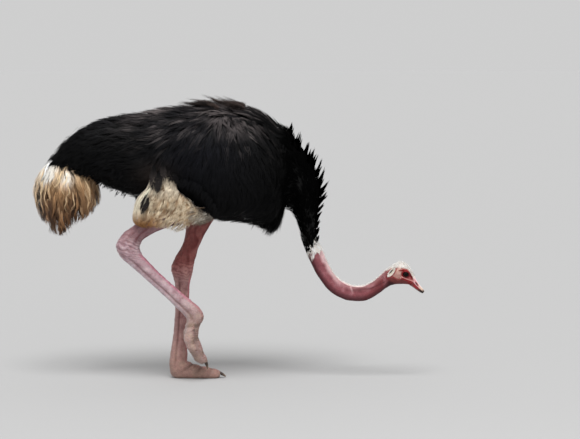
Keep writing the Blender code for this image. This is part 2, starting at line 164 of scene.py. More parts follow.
# Lines seen from the side, as x and z of their points.
GAPE = ((0.8280, 0.4880), (0.8838, 0.4650))
JAW = ((0.7700, 0.4980), (0.8100, 0.4800), (0.8280, 0.4880))
NECK_FOLD = ((0.5850, 0.4420), (0.5950, 0.4120))
BROW = ((0.8180, 0.5300), (0.8700, 0.5200))
BILL_EDGE = ((0.8890, 0.4790), (0.8790, 0.4560))
FACE_FOLDS = (((0.8000, 0.5010), (0.8230, 0.4960)), ((0.8080, 0.4930), (0.8330, 0.4900)),
              ((0.8020, 0.5120), (0.8080, 0.4980)), ((0.8620, 0.4900), (0.8800, 0.4760)),
              ((0.7900, 0.4900), (0.8080, 0.4850)), ((0.8250, 0.5330), (0.8560, 0.5330)))
# Bent strokes: x and z of each point, and the half width there.
RED_SWEEP = (((0.8140, 0.5235), 0.0020), ((0.8360, 0.5245), 0.0085), ((0.8520, 0.5225), 0.0080),
             ((0.8640, 0.5110), 0.0075), ((0.8735, 0.4965), 0.0070), ((0.8830, 0.4790), 0.0050))
# the neck's stroke is painted shade along the groove in its side and below it
NECK_GROOVE_SHADE = (((0.5900, 0.4290), 0.0085), ((0.6240, 0.4310), 0.0085), ((0.6734, 0.4350), 0.0050),
               ((0.7147, 0.4510), 0.0045), ((0.7480, 0.4700), 0.0040))
NECK_SPOTS = (((0.742, 0.491), 0.0030), ((0.741, 0.4665), 0.0034), ((0.728, 0.470), 0.0022))
# Heights along the head, as x and z: the lower edges of the face and of the crown's down.
JAW_LINE = ((0.755, 0.775, 0.810, 0.828, 0.884), (0.515, 0.498, 0.481, 0.486, 0.461))
CROWN_EDGE = ((0.750, 0.790, 0.830, 0.860, 0.8712, 0.8832, 0.8880),
              (0.520, 0.536, 0.539, 0.529, 0.5100, 0.4880, 0.4780))
TOE_JOINTS = (1.5, 3.2, 4.8)    # stations from the root of the toes to the joints


# ---- small mathematics ----------------------------------------------------------------------
def unit(vectors):
    size = np.linalg.norm(vectors, axis=-1, keepdims=True)
    return vectors / np.maximum(size, 1e-12)


def rise(value, start, end):
    """0 up to start, 1 from end on, smooth between them."""
    t = np.clip((value - start) / (end - start), 0.0, 1.0)
    return t * t * (3.0 - 2.0 * t)


def span(value, start, full, fade, end):
    """0 outside start and end, 1 between full and fade."""
    return rise(value, start, full) * (1 - rise(value, fade, end))


def hump(value, width):
    """1 at nought, falling off smoothly over about the width."""
    return np.exp(-(value / width) ** 2)


def mix(first, second, share):
    share = np.asarray(share)[..., None]
    return first * (1.0 - share) + second * share


def tone(red, green, blue):
    """A display colour, 0 to 255, as linear light."""
    value = np.array([red, green, blue]) / 255.0
    return np.where(value > 0.04045, ((value + 0.055) / 1.055) ** 2.4, value / 12.92)


def layered(base, *layers):
    """A colour with others laid over it in turn, each by its share; a tuple is a display tone."""
    colour = tone(*base) if isinstance(base, tuple) else base
    for over, share in layers:
        colour = mix(colour, tone(*over) if isinstance(over, tuple) else over, share)
    return colour


def noise(points, size, seed=0):
    """A smooth random field from -1 to 1 with features about `size` metres across."""
    cell = np.asarray(points, float) / size + 17.3 * seed + 1000.0
    low = np.floor(cell).astype(np.int64)
    part = cell - low
    part = part * part * (3.0 - 2.0 * part)
    total = 0.0
    for corner in np.ndindex(2, 2, 2):
        at = low + np.array(corner)
        mixed = (at[..., 0] * 73856093) ^ (at[..., 1] * 19349663) ^ (at[..., 2] * 83492791)
        mixed = ((mixed ^ (mixed >> 13)) * 1274126177) & 0x7FFFFFFF
        value = ((mixed ^ (mixed >> 15)) & 0xFFFF) / 32767.5 - 1.0
        weight = np.prod(np.where(np.array(corner) == 1, part, 1.0 - part), axis=-1)
        total = total + weight * value
    return total


def drift(points, size, *seeds):
    """A slowly wandering direction; a seed of None leaves that component at nought."""
    return np.stack([0 * points[:, 0] if seed is None else noise(points, size, seed)
                     for seed in seeds], axis=1)


def through(stations):
    """Rows on a smooth curve through the stations."""
    rows = np.array(stations, float)
    values, steps = rows[:, :-1], rows[:, -1].astype(int)
    last = len(rows) - 1
    dense = []
    for index in range(last):
        start, end = values[index], values[index + 1]
        lead = 0.5 * (end - values[max(index - 1, 0)])
        trail = 0.5 * (values[min(index + 2, last)] - start)
        t = np.arange(steps[index])[:, None] / steps[index]
        dense.append((2 * t**3 - 3 * t**2 + 1) * start + (t**3 - 2 * t**2 + t) * lead
                     + (3 * t**2 - 2 * t**3) * end + (t**3 - t**2) * trail)
    dense.append(values[-1:])
    return np.concatenate(dense)


def softened(grid, passes, rounds):
    """A map of radii with its facets smoothed out, along and round the part."""
    for _ in range(passes):
        padded = np.concatenate([grid[:1], grid, grid[-1:]])
        grid = 0.25 * padded[:-2] + 0.5 * grid + 0.25 * padded[2:]
    for _ in range(rounds):
        grid = 0.25 * np.roll(grid, 1, 1) + 0.5 * grid + 0.25 * np.roll(grid, -1, 1)
    return grid


def solid_tree(*names):
    """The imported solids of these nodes, ready for rays."""
    points, faces = [], []
    for name in names:
        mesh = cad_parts[name].data
        start = len(points)
        points += [vertex.co.copy() for vertex in mesh.vertices]
        faces += [[start + index for index in face.vertices] for face in mesh.polygons]
    return BVHTree.FromPolygons(points, faces)


def finder(points):
    """The same points, ready to be asked which is nearest."""
    tree = KDTree(len(points))
    for index, point in enumerate(points):
        tree.insert(point, index)
    tree.balance()
    return tree


# ---- lines and ovals in the side view -------------------------------------------------------
def beside(points, start, end):
    """Distance from a line, and the share along it, 0 to 1."""
    flat = points[:, [0, 2]]
    start, end = np.array(start), np.array(end)
    way = end - start
    share = np.clip(((flat - start) @ way) / (way @ way), 0.0, 1.0)
    return np.linalg.norm(flat - start - share[:, None] * way, axis=1), share


def stroke(points, line):
    """Distance from a bent line, as a share of its half width there."""
    nearest = np.full(len(points), np.inf)
    for (start, first), (end, last) in zip(line, line[1:]):
        away, share = beside(points, start, end)
        nearest = np.minimum(nearest, away / (first + (last - first) * share))
    return nearest


def oval(points, centre, tilt, long_half, short_half):
    """Elliptic distance, 1 on the oval's edge, and the places along its two axes."""
    flat = points[:, [0, 2]] - np.array(centre)
    turn = math.radians(tilt)
    u = flat[:, 0] * math.cos(turn) + flat[:, 1] * math.sin(turn)
    v = flat[:, 1] * math.cos(turn) - flat[:, 0] * math.sin(turn)
    return np.hypot(u / long_half, v / short_half), u, v


def from_oval(u, v, centre, tilt):
    """x and z of places along an oval's two axes."""
    turn = math.radians(tilt)
    return (centre[0] + u * math.cos(turn) - v * math.sin(turn),
            centre[1] + u * math.sin(turn) + v * math.cos(turn))


# ---- rings round a part ---------------------------------------------------------------------
class Tube:
    """A part as rings.  Step 0 of a ring is its upper or front edge; steps go by the left.

    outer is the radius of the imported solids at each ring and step, and inner that of the skin.
    station and length are columns: the guide station and the metres along the middle at each
    ring.  turn is a row: each step's turn from the front edge, 0 to 180 degrees either way.
    """

    def __init__(self, stations, count):
        rows = through(stations)
        self.count = count
        self.middle = rows[:, :3]
        slant = np.radians(rows[:, 3])
        self.front = np.stack([np.cos(slant), 0.0 * slant, np.sin(slant)], axis=1)
        starts = np.concatenate([[0], np.cumsum([row[-1] for row in stations[:-1]])])
        self.station = np.interp(np.arange(len(rows)), starts, np.arange(len(stations)))[:, None]
        self.length = np.linalg.norm(np.gradient(self.middle, axis=0), axis=1).cumsum()[:, None]
        self.angle = 2.0 * np.pi * np.arange(count) / count
        degrees = np.degrees(self.angle)[None, :]
        self.turn = np.minimum(degrees, 360.0 - degrees)
        self.outer = np.full((len(rows), count), np.nan)
        self.inner = None

    def ring_of(self, station):
        return int(np.searchsorted(self.station[:, 0], station))

    def directions(self):
        turn = self.angle[None, :, None]
        return np.cos(turn) * self.front[:, None, :] + np.sin(turn) * ACROSS

    def sample(self, tree, reach, first=0, last=None):
        """Casts rays inwards from `reach` and keeps where they meet the solids."""
        nudge = 0.0004 * unit(np.gradient(self.middle, axis=0))
        middles = self.middle + nudge
        ways = self.directions()
        for ring in range(first, len(self.middle) if last is None else last):
            for step in range(self.count):
                way = Vector(ways[ring, step])
                hit = tree.ray_cast(Vector(middles[ring]) + way * reach, -way, reach)
                if hit[0] is not None:
                    self.outer[ring, step] = reach - hit[3]

    def fill_gaps(self):
        """Radii that no ray found are copied from the nearest ring that has them."""
        for column in self.outer.T:
            known = np.flatnonzero(~np.isnan(column))
            column[:] = np.interp(np.arange(len(column)), known, column[known])

    def points(self, radius=None):
        radius = self.inner if radius is None else radius
        return self.middle[:, None, :] + radius[..., None] * self.directions()

    def place(self, ring, step, height):
        """Points at fractional rings and steps; height 0 is on the skin and 1 on the solids."""
        ring = np.clip(ring, 0.0, len(self.middle) - 1.001)
        low = ring.astype(int)
        part = (ring - low)[..., None]
        turn = (step % self.count) * 2.0 * np.pi / self.count
        near = np.floor(step).astype(int) % self.count
        far = (near + 1) % self.count
        across = step - np.floor(step)

        def read(grid):
            before = grid[low, near] * (1 - across) + grid[low, far] * across
            after = grid[low + 1, near] * (1 - across) + grid[low + 1, far] * across
            return before * (1 - part[..., 0]) + after * part[..., 0]

        inner = read(self.inner)
        radius = inner + height * (read(self.outer) - inner)
        middle = self.middle[low] * (1 - part) + self.middle[low + 1] * part
        front = unit(self.front[low] * (1 - part) + self.front[low + 1] * part)
        way = np.cos(turn)[..., None] * front + np.sin(turn)[..., None] * ACROSS
        return middle + radius[..., None] * way

    def slopes(self, ring, step):
        """Metres moved per ring and per step on the solids, and the direction out of them."""
        along = self.place(ring + 0.5, step, 1.0) - self.place(ring - 0.5, step, 1.0)
        round_ = self.place(ring, step + 0.5, 1.0) - self.place(ring, step - 0.5, 1.0)
        return along, round_, unit(np.cross(along, round_))


def tube_mesh(points):
    """Corner points and faces of a closed tube through a grid of points, capped at both ends."""
    rings, count = points.shape[:2]
    ring = np.arange(rings - 1)[:, None] * count
    step = np.arange(count)[None, :]
    after = (step + 1) % count
    quads = np.stack([ring + step, ring + count + step, ring + count + after, ring + after], -1)
    corners = np.concatenate([points.reshape(-1, 3), [points[0].mean(0), points[-1].mean(0)]])
    start, end = rings * count, rings * count + 1
    last = (rings - 1) * count
    faces = quads.reshape(-1, 4).tolist()
    faces += [[start, index, (index + 1) % count] for index in range(count)]
    faces += [[end, last + (index + 1) % count, last + index] for index in range(count)]
    return corners, faces


def normals_of(points):
    """Directions out of the surface at each point of a tube's grid."""
    along = np.gradient(points, axis=0)
    round_ = np.roll(points, -1, 1) - np.roll(points, 1, 1)
    return unit(np.cross(along, round_))


def add_object(name, mesh):
    made = bpy.data.objects.new(name, mesh)
    bpy.context.scene.collection.objects.link(made)
    return made


def add_surface(name, corners, faces, look):
    mesh = bpy.data.meshes.new(name)
    mesh.from_pydata([tuple(point) for point in np.asarray(corners).tolist()], [], faces)
    mesh.materials.append(look)
    mesh.shade_smooth()
    return add_object(name, mesh)


def vectors_of(items, key):
    """A vector of each of a mesh's items, such as the place of its corner points."""
    flat = np.zeros(len(items) * 3, np.float32)
    items.foreach_get(key, flat)
    return flat.reshape(-1, 3).astype(float)


def paint(mesh, colours):
    """Stores a colour at each corner point, for the materials to read."""
    layer = mesh.color_attributes.new("tint", "FLOAT_COLOR", "POINT")
    full = np.ones((len(mesh.vertices), 4), np.float32)
    full[:, :3] = np.clip(colours, 0.0, 1.0)
    layer.data.foreach_set("color", full.ravel())


def lay_out(mesh, places, loops):
    """Gives each corner of each face its corner point's place on the unwrap."""
    layer = mesh.uv_layers.new(name="OFBake")
    layer.data.foreach_set("uv", places[loops].astype(np.float32).ravel())


def belongs(piece, slot, *nodes):
    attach(piece, "root")
    if nodes:
        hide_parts(*nodes)
    return piece


# ---- materials ------------------------------------------------------------------------------
class Look:
    """A Principled material whose colour is the painted tint, broken up by fine noise."""

    def __init__(self, name, roughness, **sockets):
        self.material = bpy.data.materials.new(name)
        self.material.use_nodes = True
        self.tree = self.material.node_tree
        self.shader = self.tree.nodes["Principled BSDF"]
        self.set("Roughness", roughness)
        for socket, value in sockets.items():
            self.set(socket.replace("_", " "), value)
        self.place = self.node("ShaderNodeTexCoord").outputs["Object"]
        tint = self.node("ShaderNodeAttribute", attribute_name="tint")
        self.colour = tint.outputs["Color"]

    def set(self, socket, value):
        self.shader.inputs[socket].default_value = value

    def node(self, kind, **values):
        made = self.tree.nodes.new(kind)
        for key, value in values.items():
            setattr(made, key, value)
        return made

    def link(self, output, target):
        self.tree.links.new(output, target)

    def field(self, scale, kind="ShaderNodeTexNoise", stretch=None, **inputs):
        """The value of a noise or cell texture over the object's own coordinates."""
        texture = self.node(kind)
        for key, value in {"Scale": scale, **inputs}.items():
            texture.inputs[key].default_value = value
        source = self.place
        if stretch:
            mapping = self.node("ShaderNodeMapping")
            mapping.inputs["Scale"].default_value = stretch
            self.link(source, mapping.inputs["Vector"])
            source = mapping.outputs["Vector"]
        self.link(source, texture.inputs["Vector"])
        return texture.outputs["Fac" if kind == "ShaderNodeTexNoise" else "Distance"]

    def ranged(self, value, low, high, new_low, new_high):
        """The value moved evenly from one range to another."""
        made = self.node("ShaderNodeMapRange")
        self.link(value, made.inputs["Value"])
        for key, number in (("From Min", low), ("From Max", high),
                            ("To Min", new_low), ("To Max", new_high)):
            made.inputs[key].default_value = number
        return made.outputs["Result"]

    def shade_by(self, value):
        """Multiplies the colour by a value."""
        made = self.node("ShaderNodeVectorMath", operation="SCALE")
        self.link(self.colour, made.inputs[0])
        self.link(value, made.inputs["Scale"])
        self.colour = made.outputs["Vector"]

    def rough_by(self, value):
        self.link(value, self.shader.inputs["Roughness"])

    def bump(self, height, distance, strength=0.5):
        made = self.node("ShaderNodeBump")
        made.inputs["Strength"].default_value = strength
        made.inputs["Distance"].default_value = distance
        self.link(height, made.inputs["Height"])
        normal = self.shader.inputs["Normal"]
        if normal.is_linked:
            self.link(normal.links[0].from_socket, made.inputs["Normal"])
        self.link(made.outputs["Normal"], normal)

    def done(self):
        self.link(self.colour, self.shader.inputs["Base Color"])
        return self.material


def feather_look(name, roughness, sheen, gloss, contrast=0.2):
    look = Look(name, roughness, Sheen_Weight=sheen, Sheen_Roughness=0.5,
                Specular_IOR_Level=gloss)
    fine = look.field(420.0, Detail=2.0)
    broad = look.field(38.0, Detail=3.0)
    look.shade_by(look.ranged(fine, 0.3, 0.7, 1 - contrast, 1 + contrast))
    look.shade_by(look.ranged(broad, 0.3, 0.7, 1 - 0.7 * contrast, 1 + 0.7 * contrast))
    look.bump(fine, 0.0006)
    return look.done()


def skin_look():
    look = Look("bare_skin", 0.58, Subsurface_Weight=0.08, Subsurface_Scale=0.004,
                Specular_IOR_Level=0.18, Subsurface_Radius=(1.0, 0.35, 0.2))
    cells = look.field(270.0, "ShaderNodeTexVoronoi")
    mottle = look.field(70.0, Detail=4.0)
    pores = look.field(900.0, Detail=2.0)
    # painted light and shade: each scale lighter on its raised middle and darker at its sunken
    # edge
    look.shade_by(look.ranged(cells, 0.0, 0.7, 1.20, 0.90))
    look.shade_by(look.ranged(mottle, 0.3, 0.7, 0.86, 1.12))
    look.rough_by(look.ranged(mottle, 0.3, 0.7, 0.50, 0.66))
    look.bump(look.ranged(cells, 0.0, 0.7, 1.0, 0.0), 0.0007, 0.8)
    look.bump(pores, 0.0004)
    return look.done()


def horn_look(name, roughness):
    look = Look(name, roughness, Coat_Weight=0.06, Coat_Roughness=0.30, Specular_IOR_Level=0.3)
    streaks = look.field(260.0, stretch=(0.35, 1.0, 1.0), Detail=3.0)
    specks = look.field(900.0, Detail=2.0)
    look.shade_by(look.ranged(streaks, 0.3, 0.7, 0.84, 1.12))
    look.rough_by(look.ranged(specks, 0.3, 0.7, roughness - 0.08, roughness + 0.10))
    look.bump(streaks, 0.0004)
    look.bump(specks, 0.0002)
    return look.done()


def eye_look():
    look = Look("eye_gloss", 0.05, IOR=1.34, Specular_IOR_Level=0.20)
    fibres = look.field(1400.0, Detail=3.0)
    look.shade_by(look.ranged(fibres, 0.3, 0.7, 0.7, 1.35))
    look.bump(fibres, 0.00003, 0.3)
    return look.done()


# ---- the body's rings -----------------------------------------------------------------------
def body_tube():
    """Trunk with folded wings, neck and skull as one run of rings."""
    tube = Tube(SPINE, 128)
    joint, middle = tube.ring_of(NECK_ROOT), tube.ring_of(14)
    tube.sample(solid_tree("trunk", "wing_right", "wing_left"), 0.45, last=joint)
    neck = solid_tree("neck_base", "neck_collar", "neck_bend", "neck_upper", "head",
                      "eye_right", "eye_left")
    tube.sample(neck, 0.22, first=joint, last=middle)
    tube.sample(neck, 0.085, first=middle)
    tube.fill_gaps()
    station, turn = tube.station, tube.turn
    on_neck, on_head = rise(station, 10.0, 13.0), rise(station, 25.0, 28.0)
    tube.outer = (softened(tube.outer, 4, 3) * (1 - on_neck)
                  + softened(tube.outer, 22, 10) * on_neck * (1 - on_head)
                  + softened(tube.outer, 6, 10) * on_head)
    # the coat itself lies lower than the solids where separate tufts stand out of it
    crest = span(station, 4.6, 5.6, 6.4, 7.6) * hump(turn, 38.0)
    nape = span(station, 9.6, 11.0, 14.4, 16.0) * hump(turn, 62.0)
    crown = span(station, 25.6, 27.4, 31.5, 33.0) * hump(turn, 80.0)
    tube.outer = tube.outer - 0.030 * crest - 0.026 * nape - 0.004 * crown
    coat_depth = np.interp(station, [0, 1, 2, 3, 9, 10, 12, 14, 15, 16, 17, 18, 19],
                           [0.006, 0.014, 0.024, 0.032, 0.032, 0.028, 0.022, 0.016,
                            0.012, 0.008, 0.004, 0.0005, 0.0])
    rim = span(station, 17.0, 18.0, 26.0, 28.0) * hump(turn, 16.0)
    tube.inner = tube.outer - coat_depth - 0.0015 * rim - 0.004 * crown
    return tube


def leg_tube(stations, *nodes):
    tube = Tube(stations, 60)
    tube.sample(solid_tree(*nodes), 0.10)
    tube.fill_gaps()
    tube.outer = softened(tube.outer, 7, 4)
    tube.inner = tube.outer
    return tube


# ---- the skin's shape -----------------------------------------------------------------------
def neck_relief(tube):
    """Folds, cords and fine creases of the bare neck, in metres outwards."""
    points = tube.points()
    station, turn, length = tube.station, tube.turn, tube.length
    bare = span(station, 17.2, 18.2, 26.0, 27.5)
    wander = 6.0 * noise(points, 0.05, 1) + 2.0 * noise(points, 0.012, 2)
    creases = np.abs(np.sin(length * np.pi / 0.0065 + 0.6 * wander))
    inner_bend = span(station, 18.0, 19.5, 23.0, 24.5) * hump(turn, 75.0)
    folds = np.abs(np.sin(length * np.pi / 0.013 + 0.5 * wander)) ** 0.7
    sway = 5.0 * noise(points, 0.08, 3)
    vein = hump(turn - 104.0 - sway, 7.0)
    groove = (0.2 + 0.8 * rise(station, 21.8, 22.4)) * hump(turn - 78.0 - sway, 9.0)
    windpipe = hump(turn - 180.0, 24.0) * (0.0008 + 0.00018 * np.sin(length * 2 * np.pi / 0.0055))
    fold, share = beside(points.reshape(-1, 3), *NECK_FOLD)
    fold = (hump(fold, 0.004) * hump(share, 0.8)).reshape(len(station), -1)
    return bare * (0.0006 * creases + 0.0020 * fold - 0.0011 * (1 - folds) * inner_bend
                   + 0.0010 * vein - 0.0014 * groove + windpipe
                   + 0.0008 * noise(points, 0.03, 4) + 0.0003 * noise(points, 0.006, 5))


def leg_marks(tube, points, toe):
    """Of a leg: the hock's folds, the run of each scute, the thigh's streaks, the scutes' side."""
    length, turn = tube.length, tube.turn
    wander = noise(points, 0.04, 8) + 0.5 * noise(points, 0.015, 9)
    folds = np.sin(length * 2 * np.pi / 0.016 + turn / 22.0 + 6.0 * wander)
    run = (length / (0.0105 - 0.001 * toe) + 0.25 * noise(points, 0.02, 7)) % 1.0
    streaks = np.sin(turn / 9.0 + 4.0 * noise(points, 0.05, 10))
    return folds, run, streaks, turn + 5.0 * noise(points, 0.01, 6)


def toe_joints(station, toes, width):
    return sum(hump(station - toes - offset, width) for offset in TOE_JOINTS)


def leg_relief(tube, hock, toes, soles):
    """Scutes down the front, folds at the hock, tendons and pads, in metres outwards."""
    points = tube.points()
    station, turn = tube.station, tube.turn
    shank = rise(station, hock + 0.8, hock + 2.0)
    toe = rise(station, toes - 0.4, toes + 0.4)
    folds, run, streaks, side = leg_marks(tube, points, toe)
    width = 34.0 + 22.0 * toe
    plate = (1.0 - run ** 5) * rise(run, 0.0, 0.14) * (1.0 - rise(side, width - 6.0, width + 4.0))
    scutes = shank * ((0.0018 + 0.0006 * toe) * plate - 0.0006 * hump(turn - width, 5.0))
    tendon = shank * (1 - toe) * (0.0030 * hump(turn - 160.0, 26.0)
                                  - 0.0036 * hump(turn - 112.0, 17.0)
                                  + 0.0014 * hump(turn - 78.0, 18.0))
    thigh = 1 - rise(station, hock - 1.5, hock - 0.2)
    grain = 0.0006 * noise(points, 0.006, 11) + 0.0010 * noise(points, 0.016, 12)
    bent = np.cos(toe_joints(station, toes, 0.38) * np.pi)
    creases = toe * hump(turn, 95.0) * (0.0014 * bent - 0.0006)
    pads = toe * hump(turn - 180.0, 50.0) * (0.0 if soles else 0.0018) * bent
    return (scutes + hump(station - hock, 1.5) * 0.0011 * folds + tendon
            + thigh * 0.0016 * streaks + grain + pads + creases)


def sculpt_head(points, normals):
    """Moves the skin of the head into lids, brow, ear, gape and jaw."""
    side = np.sign(points[:, 1]) + (points[:, 1] == 0)
    near = (points[:, 0] > 0.74) & (np.abs(points[:, 1]) > 0.008)
    ear, _, _ = oval(points, *EAR)
    slit, _, _ = oval(points, *EAR_SLIT)
    shift = 0.0011 * hump(ear - 1.12, 0.34) - 0.0012 * (1 - rise(ear, 0.4, 1.0))
    shift -= 0.0065 * (1 - rise(slit, 0.5, 1.25))
    gap, along = beside(points, *GAPE)
    lips = 0.0011 * hump(gap - 0.0032, 0.0016) - 0.0024 * hump(gap, 0.0013)
    shift += rise(along, 0.0, 0.15) * lips
    for start, end in zip(JAW, JAW[1:]):
        shift -= 0.0008 * hump(beside(points, start, end)[0], 0.0022)
    brow, share = beside(points, *BROW)
    shift += 0.0018 * hump(brow, 0.0045) * hump(share - 0.5, 0.45)
    for fold in FACE_FOLDS:
        line, share = beside(points, *fold)
        crease = 0.0007 * hump(line - 0.0020, 0.0014) - 0.0010 * hump(line, 0.0010)
        shift += crease * hump(share - 0.5, 0.45)
    shift += 0.0005 * noise(points, 0.008, 21) + 0.00035 * noise(points, 0.0035, 22)
    return close_lids(points, points + normals * (shift * near)[:, None], side)


def close_lids(points, moved, side):
    """Brings the skin round the eyes out to the eyeballs, as lids with a rim and wrinkles."""
    lid, u, v = oval(points, *LIDS)
    away = np.hypot(u, v)
    ball = EYE[1] + np.sqrt(EYE_RADIUS**2 - np.minimum(away, 0.90 * EYE_RADIUS) ** 2)
    rim = 0.0019 * hump(lid - 1.10, 0.16) + 0.0006 * hump(lid - 1.55, 0.10)
    rim -= 0.0009 * hump(lid - 1.36, 0.09) + 0.0070 * (1 - rise(lid, 0.86, 1.0))
    rim += 0.0002 * np.sin(np.arctan2(v, u) * 34.0) * hump(lid - 1.3, 0.25)
    target = side * (ball + rim + 0.0004)
    share = (1 - rise(lid, 1.25, 2.0)) * (np.abs(points[:, 1]) > 0.012) * (points[:, 0] > 0.80)
    moved[:, 1] = moved[:, 1] * (1 - share) + target * share
    centre = np.stack([np.full(len(points), EYE[0]), side * EYE[1],
                       np.full(len(points), EYE[2])], 1)
    away = np.linalg.norm(moved - centre, axis=1, keepdims=True)
    clear = EYE_RADIUS + 0.0011
    covered = (away[:, 0] < clear) & (lid > 1.0) & (np.abs(points[:, 1]) > 0.010)
    return np.where(covered[:, None], centre + (moved - centre) / away * clear, moved)


def refine_near(mesh, spots, radius):
    """Splits the faces round each spot once more."""
    work = bmesh.new()
    work.from_mesh(mesh)
    edges = set()
    for spot in spots:
        for face in work.faces:
            if (face.calc_center_median() - Vector(spot)).length < radius:
                edges.update(face.edges)
    bmesh.ops.subdivide_edges(work, edges=list(edges), cuts=1, use_grid_fill=True)
    work.to_mesh(mesh)
    work.free()


# ---- the skin's markings --------------------------------------------------------------------
def black_edge(points):
    """Height above the slanting line where the black coat ends on the neck."""
    return points[..., 2] - 0.6105 - 0.98 * (points[..., 0] - 0.370)


def leg_colours(tube, hock, toes, far, lifted):
    """The mauve skin of a leg: pink scutes, pale tendons, painted shade in its groove and folds,
    and a dusty foot.
    """
    points = tube.points()
    station, turn = tube.station, tube.turn
    blotch, grain = noise(points, 0.022, 32), noise(points, 0.006, 31)
    shank = rise(station, hock + 0.6, hock + 2.0)
    toe = rise(station, toes - 0.6, toes + 0.6)
    thigh = 1 - rise(station, hock - 1.4, hock + 0.1)
    folds, run, streaks, side = leg_marks(tube, points, toe)
    groove = hump(turn - 112.0 - 4.0 * noise(points, 0.05, 34), 9.0) * shank * (1 - toe)
    pink = rise(station, hock + 0.4, hock + 1.4) * (1 - rise(turn, 22.0, 46.0)) * (1 - 0.5 * toe)
    colour = layered(
        (182, 153, 159),
        ((204, 179, 183), rise(blotch, -0.2, 0.9)),
        ((146, 106, 112), rise(grain - blotch, 0.3, 1.2) * 0.6),
        ((206, 194, 202), hump(turn - 170.0, 34.0) * 0.6 * shank),
        # painted shade: darker in the groove behind the shank and in the hock's folds, where shade
        # falls
        ((110, 78, 80), groove * 0.75),
        ((118, 80, 86), hump(station - hock, 1.6) * rise(-folds, 0.1, 0.9) * 0.65),
        # the thigh darker mauve: partly its own tone, partly painted shade under the body
        ((124, 86, 88), thigh * 0.75),
        ((92, 38, 44), thigh * rise(streaks, 0.0, 0.9) * 0.7 * hump(turn - 40.0, 70.0)),
        ((6, 6, 6), 1 - rise(station, 0.2, 0.9)),
        ((204, 124, 144), pink * 0.75))
    # painted shade: the far leg is darkened as if in the body's shadow, redder above and greyer
    # towards the foot
    if far:
        down = rise(station, hock - 1.4, hock + 1.5)
        colour = colour * layered((218, 168, 156), ((196, 176, 166), down)) / 0.72
    border = np.maximum(1 - rise(run, 0.03, 0.20), rise(run, 0.90, 1.0))
    front = 1.0 - rise(side, 28.0 + 22.0 * toe, 40.0 + 22.0 * toe)
    dust = rise(station, toes - 3.5, toes + 0.5) * (0.55 + 0.25 * rise(blotch, -0.5, 0.8))
    return layered(
        colour,
        ((148, 124, 104) if lifted else (146, 120, 106), dust),
        ((96, 66, 62), border * front * shank * (0.30 + 0.30 * toe)),
        ((84, 64, 56), toe * toe_joints(station, toes, 0.25) * 0.55 * hump(turn, 95.0)))


def head_colours(points):
    """Beige-pink face, red round the eye and along the mouth, pale ear and crown, dark throat, and
    painted shade in hollows and under the jaw.
    """
    x, _, z = points.T
    blotch, grain = noise(points, 0.014, 32), noise(points, 0.004, 31)
    ear, slit, lid = (oval(points, *shape)[0] for shape in (EAR, EAR_SLIT, LIDS))
    gap = beside(points, *GAPE)[0]
    above = z - np.interp(x, *JAW_LINE)
    throat = 1 - rise(above + 0.002 * blotch, -0.006, 0.004)
    under = 1 - rise(above, -0.040, -0.016)
    flush = rise(x, 0.832, 0.852) * rise(above, 0.000, 0.005) * (1 - rise(z, 0.500, 0.515))
    sweep = stroke(points, RED_SWEEP) + 0.18 * grain + 0.15 * blotch
    red = 1 - np.minimum(rise(lid + 0.12 * blotch, 1.30, 2.00), rise(sweep, 0.35, 1.45))
    deep = rise(blotch, -0.4, 0.8) * 0.6 + 0.7 * span(x, 0.858, 0.870, 0.880, 0.890)
    by_bill = hump(beside(points, *BILL_EDGE)[0], 0.0080)
    over_gape = rise(z - np.interp(x, *zip(*GAPE)), 0.0, 0.004)
    return layered(
        (170, 126, 118),
        ((194, 156, 144), rise(blotch + 0.4 * grain, -0.3, 0.9)),
        ((150, 104, 100), rise(grain - blotch, 0.4, 1.3) * 0.6),
        # the throat's own dark red, with painted shade deepening it to near black further under
        # the jaw
        (layered((112, 54, 52), ((46, 12, 16), under)), throat),
        ((122, 26, 32), throat * (1 - under) * rise(x, 0.840, 0.872) * 0.8),
        ((140, 18, 30), hump(above, 0.0032) * 0.9),
        (layered((176, 84, 84), ((134, 34, 42), rise(grain + blotch, -0.5, 0.9))), flush * 0.85),
        (layered((138, 10, 18), ((92, 3, 9), np.clip(deep, 0, 1))), red),
        # painted shade in the crease round the lids
        ((74, 20, 22), hump(lid - 1.36, 0.12) * 0.7),
        ((40, 14, 14), 1 - rise(lid, 1.06, 1.20)),
        ((238, 176, 170), hump(gap - 0.0048, 0.0020) * (above > 0) * 0.9),
        ((146, 6, 20), hump(gap, 0.0032)),
        ((128, 36, 44), hump(ear - 1.28, 0.22) * 0.95),
        ((214, 204, 188), 1 - rise(ear + 0.12 * grain, 0.90, 1.08)),
        # painted shade inside the ear's opening
        ((30, 16, 15), 1 - rise(slit, 0.75, 1.15)),
        ((206, 146, 144), by_bill * 0.7 * over_gape),
        ((232, 218, 209), rise(z - np.interp(x, *CROWN_EDGE), -0.004, 0.005)))


def above_middle(points, tube):
    """How far each point lies to the front of the neck's middle line, as a share of its radius."""
    first = tube.ring_of(COLLAR - 2)
    middle, front = tube.middle[first:], tube.front[first:]
    reach = tube.inner[first:].mean(axis=1)
    above = np.zeros(len(points))
    for start in range(0, len(points), 4000):
        part = points[start:start + 4000]
        gaps = part[:, None, [0, 2]] - middle[None, :, [0, 2]]
        near = np.argmin((gaps ** 2).sum(-1), axis=1)
        above[start:start + 4000] = np.sum((part - middle[near]) * front[near], -1) / reach[near]
    return above


